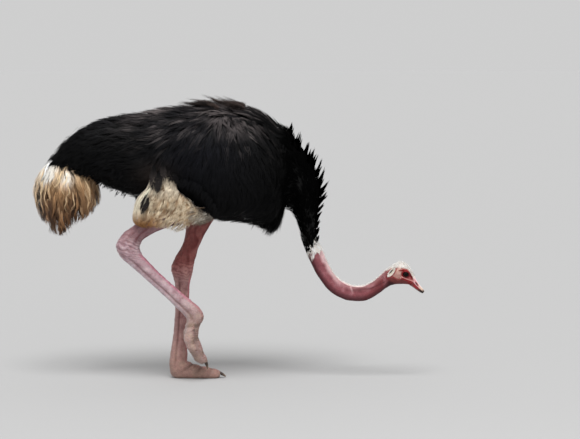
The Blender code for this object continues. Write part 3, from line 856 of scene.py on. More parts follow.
def neck_colours(points, tube):
    """Mauve skin, with painted light along the top and on a fold, painted shade under the throat
    and along a groove, and small dark spots.
    """
    x, _, z = points.T
    grain, blotch = noise(points, 0.004, 31), noise(points, 0.020, 32)
    above = above_middle(points, tube)
    lit = rise(above + 0.10 * blotch, 0.25, 0.85) * (1 - 0.82 * rise(x, 0.48, 0.56))
    fold, share = beside(points, *NECK_FOLD)
    dots = rise(noise(points, 0.0060, 33), 0.66, 0.82) * rise(x, 0.64, 0.72)
    for spot, size in NECK_SPOTS:
        dots = np.maximum(dots, 1 - rise(oval(points, spot, 60.0, size, size * 0.7)[0], 0.7, 1.3))
    collar = rise(z - 0.592 - 0.31 * (x - 0.375) + 0.006 * blotch, 0.0, 0.010) * (x < 0.47)
    return layered(
        (134, 76, 82),
        ((110, 48, 51), rise(x, 0.58, 0.76)),
        ((164, 112, 118), rise(blotch + 0.4 * grain, 0.0, 1.0) * 0.5),
        ((104, 54, 60), rise(-blotch + 0.4 * grain, 0.1, 1.1) * 0.55),
        # painted light: the top of the neck lighter where light falls on it
        ((218, 186, 186), lit * 0.80),
        # painted shade: the underside of the neck darker
        ((74, 28, 34), rise(-above + 0.10 * blotch, 0.20, 0.90) * 0.9),
        # painted shade along the neck's groove and below it
        ((84, 34, 38), hump(stroke(points, NECK_GROOVE_SHADE) + 0.2 * blotch, 1.0) * 0.75),
        # painted highlight: a pale rim along the very top of the neck
        ((236, 216, 212), rise(above, 0.88, 0.98) * 0.85),
        # painted highlight on the raised fold
        ((206, 166, 166), hump(fold, 0.004) * hump(share, 0.8) * 0.7),
        ((58, 28, 30), dots * 0.8),
        ((210, 196, 190), collar))


def skin_colours(points, tube, leg_points, leg_tints):
    """The bird's own colours by place: dark under the black coat, pink where it is bare."""
    x, y, z = points.T
    bare = mix(neck_colours(points, tube), head_colours(points), rise(x, 0.744, 0.780))
    bare_share = rise(x, 0.28, 0.34) * (1 - rise(black_edge(points), -0.004, 0.008))
    colours = layered((6, 6, 6), (bare, bare_share))
    legs = finder(leg_points)
    for index in np.flatnonzero((z < 0.86) & (x < 0.05) & (np.abs(y) < 0.2)):
        _, found, away = legs.find(points[index])
        if away < 0.006:
            colours[index] = leg_tints[found]
    return colours


def lip_rings(tube, lip):
    """Rings that reach over the root of the bill and turn in under it."""
    middle = lip.mean(0)
    forward = unit(np.cross(tube.front[-1], ACROSS) * -1.0)
    rolls = [(0.0014, 1.005), (0.0030, 0.985), (0.0040, 0.960), (0.0036, 0.930), (-0.004, 0.86)]
    return [middle + forward * ahead + (lip - middle) * size for ahead, size in rolls]


def trunk_and_head(tube, look):
    """The skin of the trunk, neck and head, and the same as a tree for what is rooted on it."""
    points = tube.points()
    points += normals_of(points) * neck_relief(tube)[..., None]
    points = np.concatenate([points, lip_rings(tube, points[-1])])
    body = add_surface("skin", *tube_mesh(points), look)
    eyes = [(EYE[0] + 0.003, side * 0.041, EYE[2] - 0.001) for side in (-1, 1)]
    ears = [(EAR[0][0], side * 0.035, EAR[0][1]) for side in (-1, 1)]
    for spots, radius in ((eyes, 0.025), (eyes, 0.0182), (ears, 0.020)):
        refine_near(body.data, spots, radius)
    moved = sculpt_head(vectors_of(body.data.vertices, "co"),
                        vectors_of(body.data.vertices, "normal"))
    body.data.vertices.foreach_set("co", moved.astype(np.float32).ravel())
    body.data.update()
    faces = [list(face.vertices) for face in body.data.polygons]
    return body, BVHTree.FromPolygons(moved.tolist(), faces)


def leg_part(name, stations, nodes, hock, toes, look):
    """The skin of one leg or outer toe, with its points and their colours."""
    leg, left, outer = leg_tube(stations, *nodes), "left" in name, "outer" in name
    sunk = np.linspace(0.45, 1.0, 9)[:, None]       # the first rings narrow into the body
    leg.inner[:9] = (leg.inner[9] if outer else leg.inner[:9]) * sunk
    grid = leg.points()
    grid = grid + normals_of(grid) * leg_relief(leg, hock, toes, soles=left)[..., None]
    if left:
        grid[..., 2] = np.maximum(grid[..., 2], 0.0)
    part = add_surface("skin_" + name, *tube_mesh(grid), look)
    tints = leg_colours(leg, hock, toes, far=left, lifted=not left)
    return part, grid.reshape(-1, 3), tints.reshape(-1, 3)


def build_skin(tube, look):
    """One skin for trunk, wings, neck, head and legs, its parts joined into one surface."""
    body, surface = trunk_and_head(tube, look)
    legs = (
        ("right", RIGHT_LEG, ("drumstick_right", "shank_right", "toe_3_right"), 5, 12),
        ("left", LEFT_LEG, ("drumstick_left", "shank_left", "toe_3_left"), 6, 13),
        ("right_outer", RIGHT_OUTER_TOE, ("toe_4_right",), -3, 0),
        ("left_outer", LEFT_OUTER_TOE, ("toe_4_left",), -3, 0),
    )
    parts, marks, tints = zip(*(leg_part(*leg, look) for leg in legs))
    for part in parts:
        union = body.modifiers.new(part.name, "BOOLEAN")
        union.operation = "UNION"
        union.solver = "EXACT"
        union.object = part
    depsgraph = bpy.context.evaluated_depsgraph_get()
    whole = bpy.data.meshes.new_from_object(body.evaluated_get(depsgraph))
    body.modifiers.clear()
    body.data = whole
    for part in parts:
        bpy.data.objects.remove(part)
    whole.name = "skin"
    whole.shade_smooth()
    paint(whole, skin_colours(vectors_of(whole.vertices, "co"), tube, np.concatenate(marks),
                              np.concatenate(tints)))
    flesh = ("trunk", "neck_", "head", "wing_right", "wing_left", "drumstick", "shank", "toe")
    belongs(body, "neck_skin", *[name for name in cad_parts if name.startswith(flesh)])
    return surface


# ---- bill, eyes and claws -------------------------------------------------------------------
def horn_tube(stations, count, *nodes, cut=0):
    """A small hard part, sampled closely; its first rings are copied where a cut spoils them."""
    tube = Tube(stations, count)
    tube.sample(solid_tree(*nodes), 0.05)
    tube.fill_gaps()
    if cut:
        tube.outer[:cut] = tube.outer[cut]
    tube.inner = softened(tube.outer, 5, 1)
    return tube


def root_inside(points, back, size):
    """The grid with one more ring set back from its root, so that it sits in its neighbour."""
    middle = points[0].mean(0)
    way = unit(points[1].mean(0) - middle)
    ring = middle - way * back + (points[0] - middle) * size
    return np.concatenate([ring[None], points])


def upper_bill(points, share, turn):
    """Relief and colour of the upper bill: ridge, nostrils and nail; share runs to the tip."""
    nostril, _, _ = oval(points, *NOSTRIL)
    nail = rise(share, 0.76, 0.82)
    ridge = 0.0006 * hump(turn, 16.0) - 0.0008 * hump(turn - 38.0, 12.0) * (1 - nail)
    hole = 0.0005 * hump(nostril - 1.7, 0.4) - 0.0034 * (1 - rise(nostril, 0.5, 1.25))
    relief = (ridge + hole * span(turn, 22.0, 34.0, 95.0, 110.0) + 0.0006 * nail
              - 0.0004 * hump(share - 0.76, 0.02) + 0.0002 * noise(points, 0.004, 71)
              - 0.0012 * rise(share, 0.93, 1.0))
    on_side = span(turn, 20.0, 34.0, 100.0, 115.0)
    root = 1 - rise(share, 0.40, 0.75)
    return relief, layered(
        (252, 200, 206),
        ((214, 186, 166), rise(share, 0.30, 0.80)),
        ((150, 20, 36), hump(nostril - 1.0, 2.0) * on_side * root * 0.9),
        # painted highlight along the top of the ridge
        ((255, 244, 242), hump(turn, 40.0) * (1 - 0.4 * rise(share, 0.8, 0.95))),
        ((232, 176, 176), hump(turn - 98.0, 12.0) * root * 0.8),
        ((150, 20, 34), rise(turn, 106.0, 122.0) * root * 0.9),
        # painted shade inside the nostril
        ((34, 6, 8), (1 - rise(nostril, 0.9, 1.35)) * on_side),
        ((62, 46, 38), rise(share, 0.80, 0.95) * rise(turn, 30.0, 75.0)))


def lower_bill(points, share, turn):
    """Relief and colour of the lower bill."""
    relief = (0.0005 * hump(turn - 180.0, 20.0) - 0.0005 * hump(turn - 120.0, 12.0)
              + 0.0002 * noise(points, 0.004, 72) - 0.0010 * rise(share, 0.92, 1.0))
    return relief, layered(
        (160, 38, 46),
        ((96, 68, 54), rise(share, 0.3, 0.8)),
        ((150, 30, 40), hump(turn - 60.0, 22.0) * (1 - rise(share, 0.5, 0.9))),
        ((92, 44, 40), hump(turn - 180.0, 60.0) * 0.7),
        ((112, 54, 52), 1 - rise(share, 0.02, 0.25)),
        ((34, 21, 16), rise(share, 0.45, 0.85) * 0.95))


def build_bill(name, node, stations, looks, look):
    tube = horn_tube(stations, 64, node)
    grid = root_inside(tube.points(), 0.005, 0.9)
    rings = len(grid)
    caps = np.concatenate([grid.reshape(-1, 3), grid[[0, -1]].mean(axis=1)])
    share = np.repeat(np.clip(np.arange(-1, rings - 1) / (rings - 2), 0.0, 1.0), tube.count)
    relief, colours = looks(caps, np.append(share, [0.0, 1.0]),
                            np.append(np.tile(tube.turn[0], rings), [0.0, 0.0]))
    grid = grid + normals_of(grid) * relief[:-2].reshape(rings, -1, 1)
    made = add_surface(name, *tube_mesh(grid), look)
    paint(made.data, colours)
    belongs(made, "bill_horn", node)


def build_eye(side, name, look):
    """A dark glossy eyeball, with the clear front bulging over a brown iris and wide pupil."""
    work = bmesh.new()
    bmesh.ops.create_uvsphere(work, u_segments=64, v_segments=48, radius=1.0)
    turn = Vector((0.10, side, 0.06)).normalized().to_track_quat("Z", "Y").to_matrix()
    polar = np.array([math.acos(max(-1.0, min(1.0, vertex.co.z))) for vertex in work.verts])
    bulge = 1.0 + 0.05 * (1 - rise(polar, 0.30, 0.66))
    centre = Vector((EYE[0], side * EYE[1], EYE[2]))
    for vertex, size in zip(work.verts, bulge):
        vertex.co = centre + (turn @ vertex.co) * (size * (EYE_RADIUS - 0.0004))
    mesh = bpy.data.meshes.new("eyeball_" + name)
    work.to_mesh(mesh)
    work.free()
    mesh.shade_smooth()
    mesh.materials.append(look)
    paint(mesh, layered((5, 4, 3), ((34, 18, 11), span(polar, 0.33, 0.37, 0.46, 0.54))))
    belongs(add_object("eyeball_" + name, mesh), "eye", "eye_" + name)


def build_lashes(tube, look):
    """Stiff black lashes on the upper lids."""
    rng = np.random.default_rng(16)
    count = 42
    batches = []
    for side in (-1, 1):
        around = np.radians(rng.uniform(28.0, 160.0, count))
        u = LIDS[2] * 1.08 * np.cos(around)
        v = LIDS[3] * 1.08 * np.sin(around)
        x, z = from_oval(u, v, *LIDS[:2])
        depth = EYE[1] + np.sqrt(EYE_RADIUS**2 - np.hypot(u, v)**2) + 0.0012
        roots = np.stack([x, side * depth, z], axis=1)
        ways = np.stack([0.35 * np.cos(around), np.full(count, side * 0.9),
                         0.35 * np.sin(around)], 1)
        ways = ways + rng.normal(0, 0.08, roots.shape)
        batches.append(standing(rng, roots, ways, -0.35 * UP, rng.uniform(0.006, 0.010, count),
                                plain((16, 14, 14)), unwrap_near(tube, roots), UP, barbs=1,
                                spread=0.0001, width=0.0006))
    belongs(joined("lashes", batches, look), "black_plumage")


def build_claw(root, pitch, y, name, look):
    """A blunt curved claw with growth ridges, worn pale at its tip."""
    stations = []
    for step, rings in enumerate((9, 9, 9, 1)):
        share = step / 3.0 * 0.985
        turn = math.radians(pitch - CLAW_CURL * share)
        reach = CLAW_LENGTH * share
        stations.append((root[0] + reach * math.cos(turn), y, root[1] + reach * math.sin(turn),
                         math.degrees(turn) + 90.0, rings))
    tube = horn_tube(stations, 32, name, cut=8)
    grid = tube.points()
    length = np.linspace(0.0, CLAW_LENGTH, len(grid))[:, None]
    relief = 0.00018 * np.sin(length * 2 * np.pi / 0.0031 + noise(grid, 0.006, 73))
    relief = relief - 0.0005 * hump(tube.turn - 180.0, 30.0)
    grid = grid + normals_of(grid) * relief[..., None]
    grid[..., 2] = np.maximum(grid[..., 2], 0.0005)
    made = add_surface("nail_" + name.split("_")[1], *tube_mesh(root_inside(grid, 0.006, 0.92)),
                       look)
    share = np.concatenate([np.zeros(32), np.repeat(length[:, 0] / CLAW_LENGTH, 32), [0.0, 1.0]])
    paint(made.data, layered((58, 46, 40), ((118, 100, 84), rise(share, 0.45, 1.0))))
    belongs(made, "claw_horn", name)


# ---- blades and tufts -----------------------------------------------------------------------
def blade_faces(rings):
    """The triangles of one closed three-sided blade with this many rings below its tip."""
    faces = [(0, 2, 1)]
    for ring in range(rings - 1):
        for corner in range(3):
            near, far = ring * 3 + corner, ring * 3 + (corner + 1) % 3
            faces += [(near, far, far + 3), (near, far + 3, near + 3)]
    last = (rings - 1) * 3
    faces += [(last + step, last + (step + 1) % 3, last + 3) for step in range(3)]
    return np.array(faces)


def triangles(name, corners, loops, look):
    """A smooth mesh of triangles; loops names the corner points three by three."""
    mesh = bpy.data.meshes.new(name)
    mesh.vertices.add(len(corners))
    mesh.vertices.foreach_set("co", corners.astype(np.float32).ravel())
    mesh.loops.add(len(loops))
    mesh.loops.foreach_set("vertex_index", loops.astype(np.int32))
    total = len(loops) // 3
    mesh.polygons.add(total)
    mesh.polygons.foreach_set("loop_start", 3 * np.arange(total, dtype=np.int32))
    mesh.polygons.foreach_set("use_smooth", np.ones(total, bool))
    mesh.update(calc_edges=True)
    mesh.materials.append(look)
    return mesh


def blades(name, spine, width, facing, colour, roots, look):
    """Closed three-sided tapering blades as one mesh.

    spine (n, k + 1, 3) runs from root to tip, width (n, k) and colour (n, k + 1, 3) go with it,
    facing (n, 3) is the way the broad side looks, roots (n, 2) the place on the unwrap.
    """
    count, rings = spine.shape[0], spine.shape[1] - 1
    along = np.gradient(spine, axis=1)[:, :-1]
    side = unit(np.cross(along, facing[:, None, :]))
    up = unit(np.cross(side, along))
    half = 0.5 * width[..., None]
    base = spine[:, :-1]
    around = np.stack([base - side * half, base + up * half * 0.6, base + side * half], axis=2)
    corners = np.concatenate([around.reshape(count, rings * 3, 3), spine[:, -1:]], axis=1)
    starts = (rings * 3 + 1) * np.arange(count)[:, None, None]
    loops = (blade_faces(rings)[None] + starts).reshape(-1)
    mesh = triangles(name, corners.reshape(-1, 3), loops, look)

    # the light falls on a tuft as on the soft surface it is part of
    broad = 0.6 * facing[:, None, :]
    lie = np.stack([broad + 0.4 * lean for lean in (up - side, up, up + side)], axis=2)
    lie = np.concatenate([lie.reshape(count, rings * 3, 3), facing[:, None, :]], axis=1)
    layer = mesh.attributes.new("lie", "FLOAT_VECTOR", "POINT")
    layer.data.foreach_set("vector", unit(lie).astype(np.float32).ravel())

    tints = np.concatenate([np.repeat(colour[:, :-1], 3, axis=1), colour[:, -1:]], axis=1)
    paint(mesh, tints.reshape(-1, 3))
    corner = np.append(np.tile([0.0, 0.5, 1.0], rings), 0.5)
    share = np.append(np.repeat(np.arange(rings) / rings, 3), 1.0)
    patch = PATCH * np.stack([corner, share], axis=1)
    lay_out(mesh, (roots[:, None, :] + patch[None]).reshape(-1, 2), loops)
    return add_object(name, mesh)


def joined(name, batches, look):
    """Batches of blades as one object, lit by the way their tufts face."""
    made = [blades(name, *batch, look) for batch in batches]
    if len(made) > 1:
        with bpy.context.temp_override(active_object=made[0], object=made[0],
                                       selected_objects=made, selected_editable_objects=made):
            bpy.ops.object.join()
    mesh = made[0].data
    made[0].name = name
    mesh.name = name
    mesh.normals_split_custom_set_from_vertices(vectors_of(mesh.attributes["lie"].data, "vector"))
    mesh.attributes.remove(mesh.attributes["lie"])
    return made[0]


def scatter(tube, rng, weight, count):
    """Random rings and steps, spread by area and by the weight at each ring and step."""
    points = tube.points(tube.outer)
    along = np.gradient(points, axis=0)
    round_ = 0.5 * (np.roll(points, -1, 1) - np.roll(points, 1, 1))
    area = np.linalg.norm(np.cross(along, round_), axis=-1) * weight
    share = np.cumsum(area.ravel())
    found = np.searchsorted(share, rng.uniform(0.0, share[-1], count))
    ring = found // tube.count + rng.uniform(-0.5, 0.5, count)
    step = found % tube.count + rng.uniform(-0.5, 0.5, count)
    return np.clip(ring, 0.0, len(tube.middle) - 1.01), step


def unwrap(tube, ring, step):
    """The place of a ring and step on the unwrap of the skin, 0 to 1 each way."""
    return np.stack([ring / len(tube.middle), (step % tube.count) / tube.count], axis=1) * 0.995


def unwrap_near(tube, roots):
    """The place on the unwrap that lies nearest to each root."""
    skin = finder(tube.points().reshape(-1, 3))
    found = np.array([skin.find(root)[1] for root in roots])
    return unwrap(tube, found // tube.count, found % tube.count)


def moves(way, along, round_):
    """Rings and steps that together go the given way, which need not be square to each other."""
    ring_ring = np.sum(along * along, -1)
    ring_step = np.sum(along * round_, -1)
    step_step = np.sum(round_ * round_, -1)
    by_ring = np.sum(way * along, -1)
    by_step = np.sum(way * round_, -1)
    scale = np.maximum(ring_ring * step_step - ring_step**2, 0.1 * ring_ring * step_step)
    return ((step_step * by_ring - ring_step * by_step) / scale,
            (ring_ring * by_step - ring_step * by_ring) / scale)


def track(tube, ring, step, flow, sway, stride, cuts):
    """The rings and the steps passed by going along the flow, a stride for each cut."""
    rings, steps = [ring], [step]
    for _ in range(cuts):
        along, round_, out = tube.slopes(rings[-1], steps[-1])
        way = flow(tube.place(rings[-1], steps[-1], 1.0), along, out)
        way = unit(way - out * np.sum(way * out, -1, keepdims=True))
        way = unit(way + sway[:, None] * np.cross(out, way))
        ring_move, step_move = moves(way * stride[:, None], along, round_)
        rings.append(np.clip(rings[-1] + ring_move, 0.0, len(tube.middle) - 1.01))
        steps.append(steps[-1] + step_move)
    return np.stack(rings), np.stack(steps)


def taper(cuts):
    """Widths of a blade at its rings as shares: a narrow root, broad middle, fine end."""
    t = np.arange(cuts) / cuts
    return (0.55 + 0.45 * np.sin(np.pi * np.minimum(t * 1.6, 1.0))) * (1 - 0.65 * t**2)


def finish(rng, spine, pick, hue, darkest, width, tip_tone):
    """Widths and colours of blades; shade and luck (0 to 1) are shared within each tuft."""
    count, total, last = pick[-1] + 1, len(pick), len(spine) - 1
    shade = rng.uniform(darkest, 1.25, count)[pick] * rng.uniform(0.9, 1.1, total)
    luck = rng.uniform(0, 1, count)[pick]
    rows = [hue(points, luck) * (shade * (1.0 + (tip_tone - 1.0) * cut / last))[:, None]
            for cut, points in enumerate(spine)]
    widths = width * rng.uniform(0.75, 1.25, total)[:, None] * taper(last)[None]
    return widths, np.stack(rows, axis=1)


def lying(tube, rng, ring, step, flow, hue, length=0.09, barbs=7, cuts=3, spread=0.007,
          width=0.0034, low=(0.0, 0.3), high=(0.5, 1.02), meet=0.75, stray=0.18, wave=0.0,
          ripples=2.0, lift=0.0, tip_tone=1.0, hem=None):
    """Tufts of blades that lie along the flow from each ring and step, one over the next."""
    count = len(ring)
    here = tube.place(ring, step, 1.0)
    size = (length(here) if callable(length) else length) * rng.uniform(0.75, 1.2, count)
    if hem:
        left_over = here[:, 2] - np.interp(here[:, 0], *hem)
        size = np.clip(size, 0.012, np.maximum(left_over * rng.uniform(0.9, 1.15, count), 0.012))
    sway = rng.normal(0.0, stray, count)
    rings, steps = track(tube, ring, step, flow, sway, size / cuts, cuts)
    along, round_, out = tube.slopes(ring, step)
    pick = np.repeat(np.arange(count), barbs)
    total = len(pick)
    start = rng.normal(0.0, spread, (total, 2))
    end = start * (1 - meet) + rng.normal(0.0, spread * 0.25, (total, 2))
    root_height = rng.uniform(*low, count)[pick]
    tip_height = rng.uniform(*high, count)[pick] + rng.normal(0, 0.05, total)
    rising = np.clip(tip_height, 0.1, high[1]) - root_height
    phase = rng.uniform(0.0, 2.0 * np.pi, count)[pick] + rng.normal(0.0, 0.3, total)
    reach = rng.uniform(0.8, 1.0, total)
    spine = []
    for cut in range(cuts + 1):
        t = cut / cuts * reach
        whole = np.minimum((t * cuts).astype(int), cuts - 1)
        part = t * cuts - whole
        at_ring, at_step = (passed[whole, pick] * (1 - part) + passed[whole + 1, pick] * part
                            for passed in (rings, steps))
        shift = start * (1 - t)[:, None] + end * t[:, None]
        swing = wave * np.sin(phase + ripples * 2.0 * np.pi * t) * t
        at_ring = at_ring + (shift[:, 0] + 0.4 * swing) / np.linalg.norm(along, axis=-1)[pick]
        at_step = at_step + (shift[:, 1] + swing) / np.linalg.norm(round_, axis=-1)[pick]
        point = tube.place(at_ring, at_step, root_height + rising * t**0.6)
        spine.append(point + out[pick] * (lift * t**3)[:, None])
    widths, colours = finish(rng, spine, pick, hue, 0.78, width, tip_tone)
    return np.stack(spine, axis=1), widths, out[pick], colours, unwrap(tube, ring, step)[pick]


def standing(rng, roots, ways, bends, lengths, hue, places, facing, barbs=14, cuts=3,
             spread=0.005, width=0.003, meet=0.85, wave=0.0, ripples=1.0):
    """Tufts that stand free: each leaves its root along a way and bends as it goes."""
    count = len(roots)
    pick = np.repeat(np.arange(count), barbs)
    total = len(pick)
    start = rng.normal(0.0, 1.0, (total, 3)) * spread
    ways = unit(ways)
    bends, facing = np.broadcast_to(bends, roots.shape), np.broadcast_to(facing, roots.shape)
    start -= ways[pick] * np.sum(start * ways[pick], -1, keepdims=True)
    wander = rng.normal(0.0, 1.0, (total, 3)) * spread * 0.3
    size = (lengths[pick] * rng.uniform(0.72, 1.05, total))[:, None]
    cross = unit(np.cross(ways, facing))[pick]
    phase = rng.uniform(0.0, 2.0 * np.pi, count)[pick] + rng.normal(0.0, 0.3, total)
    spine = []
    for cut in range(cuts + 1):
        t = cut / cuts
        swing = (wave * np.sin(phase + ripples * 2.0 * np.pi * t) * t)[:, None]
        spine.append(roots[pick] + start * (1 - meet * t) + wander * t + ways[pick] * size * t
                     + bends[pick] * size * t * t + cross * swing)
    widths, colours = finish(rng, spine, pick, hue, 0.8, width, 1.0)
    return np.stack(spine, axis=1), widths, facing[pick], colours, places[pick]


def fringe(tube, rng, weight, count, height, way, stray, bend, reach, hue, edgewise=False,
           **shape):
    """Free tufts scattered by weight; way and bend are shares of headwards, up and outwards."""
    ring, step = scatter(tube, rng, weight, count)
    along, _, out = tube.slopes(ring, step)
    along = unit(along)
    roots = tube.place(ring, step, height)
    ways = way[0] * along + way[1] * UP + way[2] * out + rng.normal(0, stray, roots.shape)
    bends = bend[0] * along + bend[1] * UP + bend[2] * out
    facing = unit(np.cross(ways, ACROSS)) if edgewise else out
    return standing(rng, roots, ways, bends, rng.uniform(*reach, count), hue,
                    unwrap(tube, ring, step), facing, **shape)


def by_luck(first, second, most=1.0, power=1):
    """A hue between two display tones by each tuft's luck, the same at every place."""
    def hue(_, luck):
        return layered(first, (second, most * luck ** power))
    return hue


def plain(colour):
    return by_luck(colour, colour)


# ---- black plumage --------------------------------------------------------------------------
def patch_at(points, x, z, half_x, half_z):
    """1 in the middle of an oval patch seen from the side, falling off towards its edge."""
    return hump(np.hypot((points[:, 0] - x) / half_x, (points[:, 2] - z) / half_z), 1.0)


def lie_of_body(points, along, _):
    """Which way the black coat lies: to the tail on top, round the wing, down in front."""
    x, y, z = points.T
    tail = -unit(along)
    side = rise(np.abs(y), 0.03, 0.17)
    from_apex = unit(np.stack([x + 0.02, 0.0 * x, z - 1.42], axis=1))
    wing = side * (1 - rise(np.hypot((x + 0.06) / 0.33, (z - 1.05) / 0.27), 0.75, 1.1))
    way = tail - UP * (0.30 * side)[:, None]
    way = mix(way, tail * 0.45 - UP, rise(x, 0.10, 0.22) * side)
    way = mix(way, from_apex - 0.20 * UP, wing)
    return way + 0.20 * drift(points, 0.05, 41, None, 42)


def lie_of_neck(points, along, _):
    """Short feathers of the neck lie towards the body, a little tousled."""
    return -unit(along) + 0.25 * drift(points, 0.04, 43, 44, 45)


def black_hue(points, luck):
    """Black, with brown patches, painted sheen, painted light and pale flecks on the back, a
    painted blue sheen on the wing and painted shade in front.
    """
    x, _, z = points.T
    brown = rise(z, 1.12, 1.32) * (1 - rise(x, 0.10, 0.24)) * rise(x, -0.62, -0.30)
    brown_and_sheen = rise(noise(points, 0.07, 46) + luck - 0.5, -0.4, 0.9)
    fleck = ((luck * 7.0) % 1.0 < 0.12) * rise(z, 1.0, 1.25) * (1 - rise(x, 0.20, 0.32))
    return layered(
        (10, 10, 11),
        # painted light: the top of the back lighter where light falls on it
        ((27, 26, 28), rise(z, 1.12, 1.30) * (1 - rise(x, 0.0, 0.2))),
        # brown patches on the top of the back: partly brown feathers, partly painted sheen
        ((112, 104, 103), brown * brown_and_sheen * 0.88),
        ((88, 82, 81), fleck * rise(x, -0.60, -0.25) * 0.8),
        # painted sheen: a bluish patch on the wing stands for its gloss
        ((15, 16, 22), patch_at(points, -0.14, 1.10, 0.20, 0.16) * 0.7),
        ((50, 43, 40), patch_at(points, -0.345, 0.99, 0.08, 0.05) * 0.7),
        # painted shade: the breast and neck darker
        ((4, 4, 4), rise(x, 0.12, 0.28) * 0.85))


def rump_fringe(tube, rng):
    """Small pointed tufts along the lower edge of the rump, over the tail and belly."""
    weight = (tube.station < 4.4) * hump(tube.turn - 128.0, 26.0) + (tube.station < 0.6)
    return fringe(tube, rng, weight, 200, 0.8, (-0.55, -0.75, 0.25), 0.12, (0.0, -0.15, -0.10),
                  (0.020, 0.038), black_hue, barbs=8, width=0.0028, meet=0.92)


def rump_ruffles(tube, rng):
    """Ruffled tufts that break the outline of the rump behind and above."""
    weight = (tube.station < 2.7) * (tube.turn < 150.0)
    return fringe(tube, rng, weight, 130, 0.7, (-0.90, 0.0, 0.42), 0.16, (0.0, -0.30, 0.0),
                  (0.030, 0.050), black_hue, barbs=10, spread=0.006, width=0.0028)


def breast_fringe(tube, rng):
    """Loose tufts that hang from the lowest edge of the breast."""
    weight = hump(tube.station - 8.9, 0.7) * (tube.turn > 152.0)
    return fringe(tube, rng, weight, 90, 0.1, (-0.35, -0.95, 0.0), 0.12, (-0.10, 0.0, 0.0),
                  (0.040, 0.056), black_hue, edgewise=True, barbs=9, spread=0.006, width=0.0028)


def build_black_coat(tube, look, neck_look):
    """The black coat, from the rump to the neck, in six pieces."""
    rng = np.random.default_rng(11)
    station, turn = tube.station, tube.turn
    right = (tube.angle > np.pi)[None, :]
    trunk = (station >= RUMP_END) & (station < TRUNK_END)
    side = (turn >= BACK_EDGE) & (turn < BELLY_EDGE)
    regions = (     # name, where, how many tufts, their length and lift, and what edges them
        ("coat_rump", station < RUMP_END, 1120, 0.085, 0.0026, (rump_fringe, rump_ruffles)),
        ("coat_back", trunk & (turn < BACK_EDGE), 1060, 0.095, 0.004, ()),
        ("coat_wing_right", trunk & side & right, 1150, 0.105, 0.004, ()),
        ("coat_wing_left", trunk & side & ~right, 1150, 0.105, 0.004, ()),
        ("coat_belly", trunk & (turn >= BELLY_EDGE), 620, 0.080, 0.0026, (breast_fringe,)),
    )
    for name, region, tufts, length, lift, edges in regions:
        # painted light: the tips of the black tufts are painted lighter, as if lit
        batches = [lying(tube, rng, *scatter(tube, rng, region, tufts), lie_of_body, black_hue,
                         length=length, wave=0.003, tip_tone=1.15, lift=lift)]
        batches += [edge(tube, rng) for edge in edges]
        belongs(joined(name, batches, look), "black_plumage")
    batches = [neck_coat(tube, rng), nape_spikes(tube, rng), coat_edge(tube, rng)]
    belongs(joined("coat_neck", batches, neck_look), "black_plumage")


def neck_coat(tube, rng):
    """Short black vanes in rows over the neck, shorter towards the collar."""
    def length(points):
        return np.interp(points[:, 2], [0.62, 0.75, 0.95, 1.2], [0.020, 0.030, 0.042, 0.06])

    on_neck = (tube.station >= TRUNK_END) * rise(black_edge(tube.points(tube.outer)), 0.006, 0.012)
    return lying(tube, rng, *scatter(tube, rng, on_neck, 1120), lie_of_neck, black_hue,
                 length=length, barbs=6, width=0.0044, meet=0.45, lift=0.006)


def coat_edge(tube, rng):
    """Small black points that reach over the white collar."""
    def ahead(_, along, __):
        return unit(along)

    gap = black_edge(tube.points(tube.outer))
    edge = hump(gap - 0.010, 0.008) * (tube.station > 14.5)
    return lying(tube, rng, *scatter(tube, rng, edge, 90), ahead, black_hue, length=0.022,
                 barbs=9, spread=0.004, width=0.0022, low=(0.1, 0.5), high=(0.7, 1.1), meet=0.9,
                 stray=0.3)


def nape_spikes(tube, rng):
    """Rows of separate pointed tufts standing out of the nape, largest in its middle."""
    station, length = tube.station[:, 0], tube.length[:, 0]
    start, end = np.interp([10.0, 16.3], station, length)
    row_gap, step_gap = 0.031, 3.6      # metres between rows, and steps between spikes
    places = np.arange(start, end, row_gap)
    rows = np.repeat(np.interp(places, length, np.arange(len(length))), 7)
    across = np.tile(np.arange(-3, 4) * step_gap, len(places))
    ring = rows + rng.normal(0, 0.35, len(rows)) + 0.25 * np.abs(across) / step_gap
    step = across + rng.normal(0, 0.9, len(rows))
    along, round_, out = tube.slopes(ring, step)
    roots = tube.place(ring, step, 0.55)
    height = roots[:, 2]
    reach = np.interp(height, [0.66, 0.80, 0.95, 1.10, 1.22], [0.022, 0.044, 0.072, 0.062, 0.034])
    forward = unit(np.array([0.55, 0.0, 0.84])) * rise(height, 0.85, 1.10)[:, None]
    ways = out * 0.66 - unit(along) * 0.84 + forward * 1.2 + rng.normal(0, 0.07, roots.shape)
    bends = UP * rng.uniform(-0.05, 0.14, len(roots))[:, None]
    return standing(rng, roots, ways, bends, reach * rng.uniform(0.75, 1.15, len(roots)),
                    black_hue, unwrap(tube, ring, step), unit(round_), barbs=24, spread=0.0038,
                    width=0.0028, meet=0.98)


def build_back_tufts(tube, look):
    """Loose brownish tufts on the top of the back, curling backwards off the coat."""
    rng = np.random.default_rng(12)
    count = 60
    x = rng.uniform(-0.15, 0.10, count)
    ring = np.interp(x, tube.middle[:50, 0], np.arange(50))
    step = rng.normal(0.0, 3.6, count)
    along, _, out = tube.slopes(ring, step)
    roots = tube.place(ring, step, 0.7)
    length = rng.uniform(0.065, 0.115, count)
    ways = -unit(along) * 0.8 + out * rng.uniform(0.30, 0.66, count)[:, None]
    ways = ways + rng.normal(0, 0.10, roots.shape)
    bends = -UP * rng.uniform(0.15, 0.50, count)[:, None] - unit(along) * 0.15
    batch = standing(rng, roots, ways, bends, length, by_luck((26, 23, 23), (74, 61, 56), 0.8),
                     unwrap(tube, ring, step), out, barbs=22, cuts=5, spread=0.006,
                     width=0.0022, meet=0.75, wave=0.008, ripples=1.3)
    belongs(joined("back_tufts", [batch], look), "black_plumage")


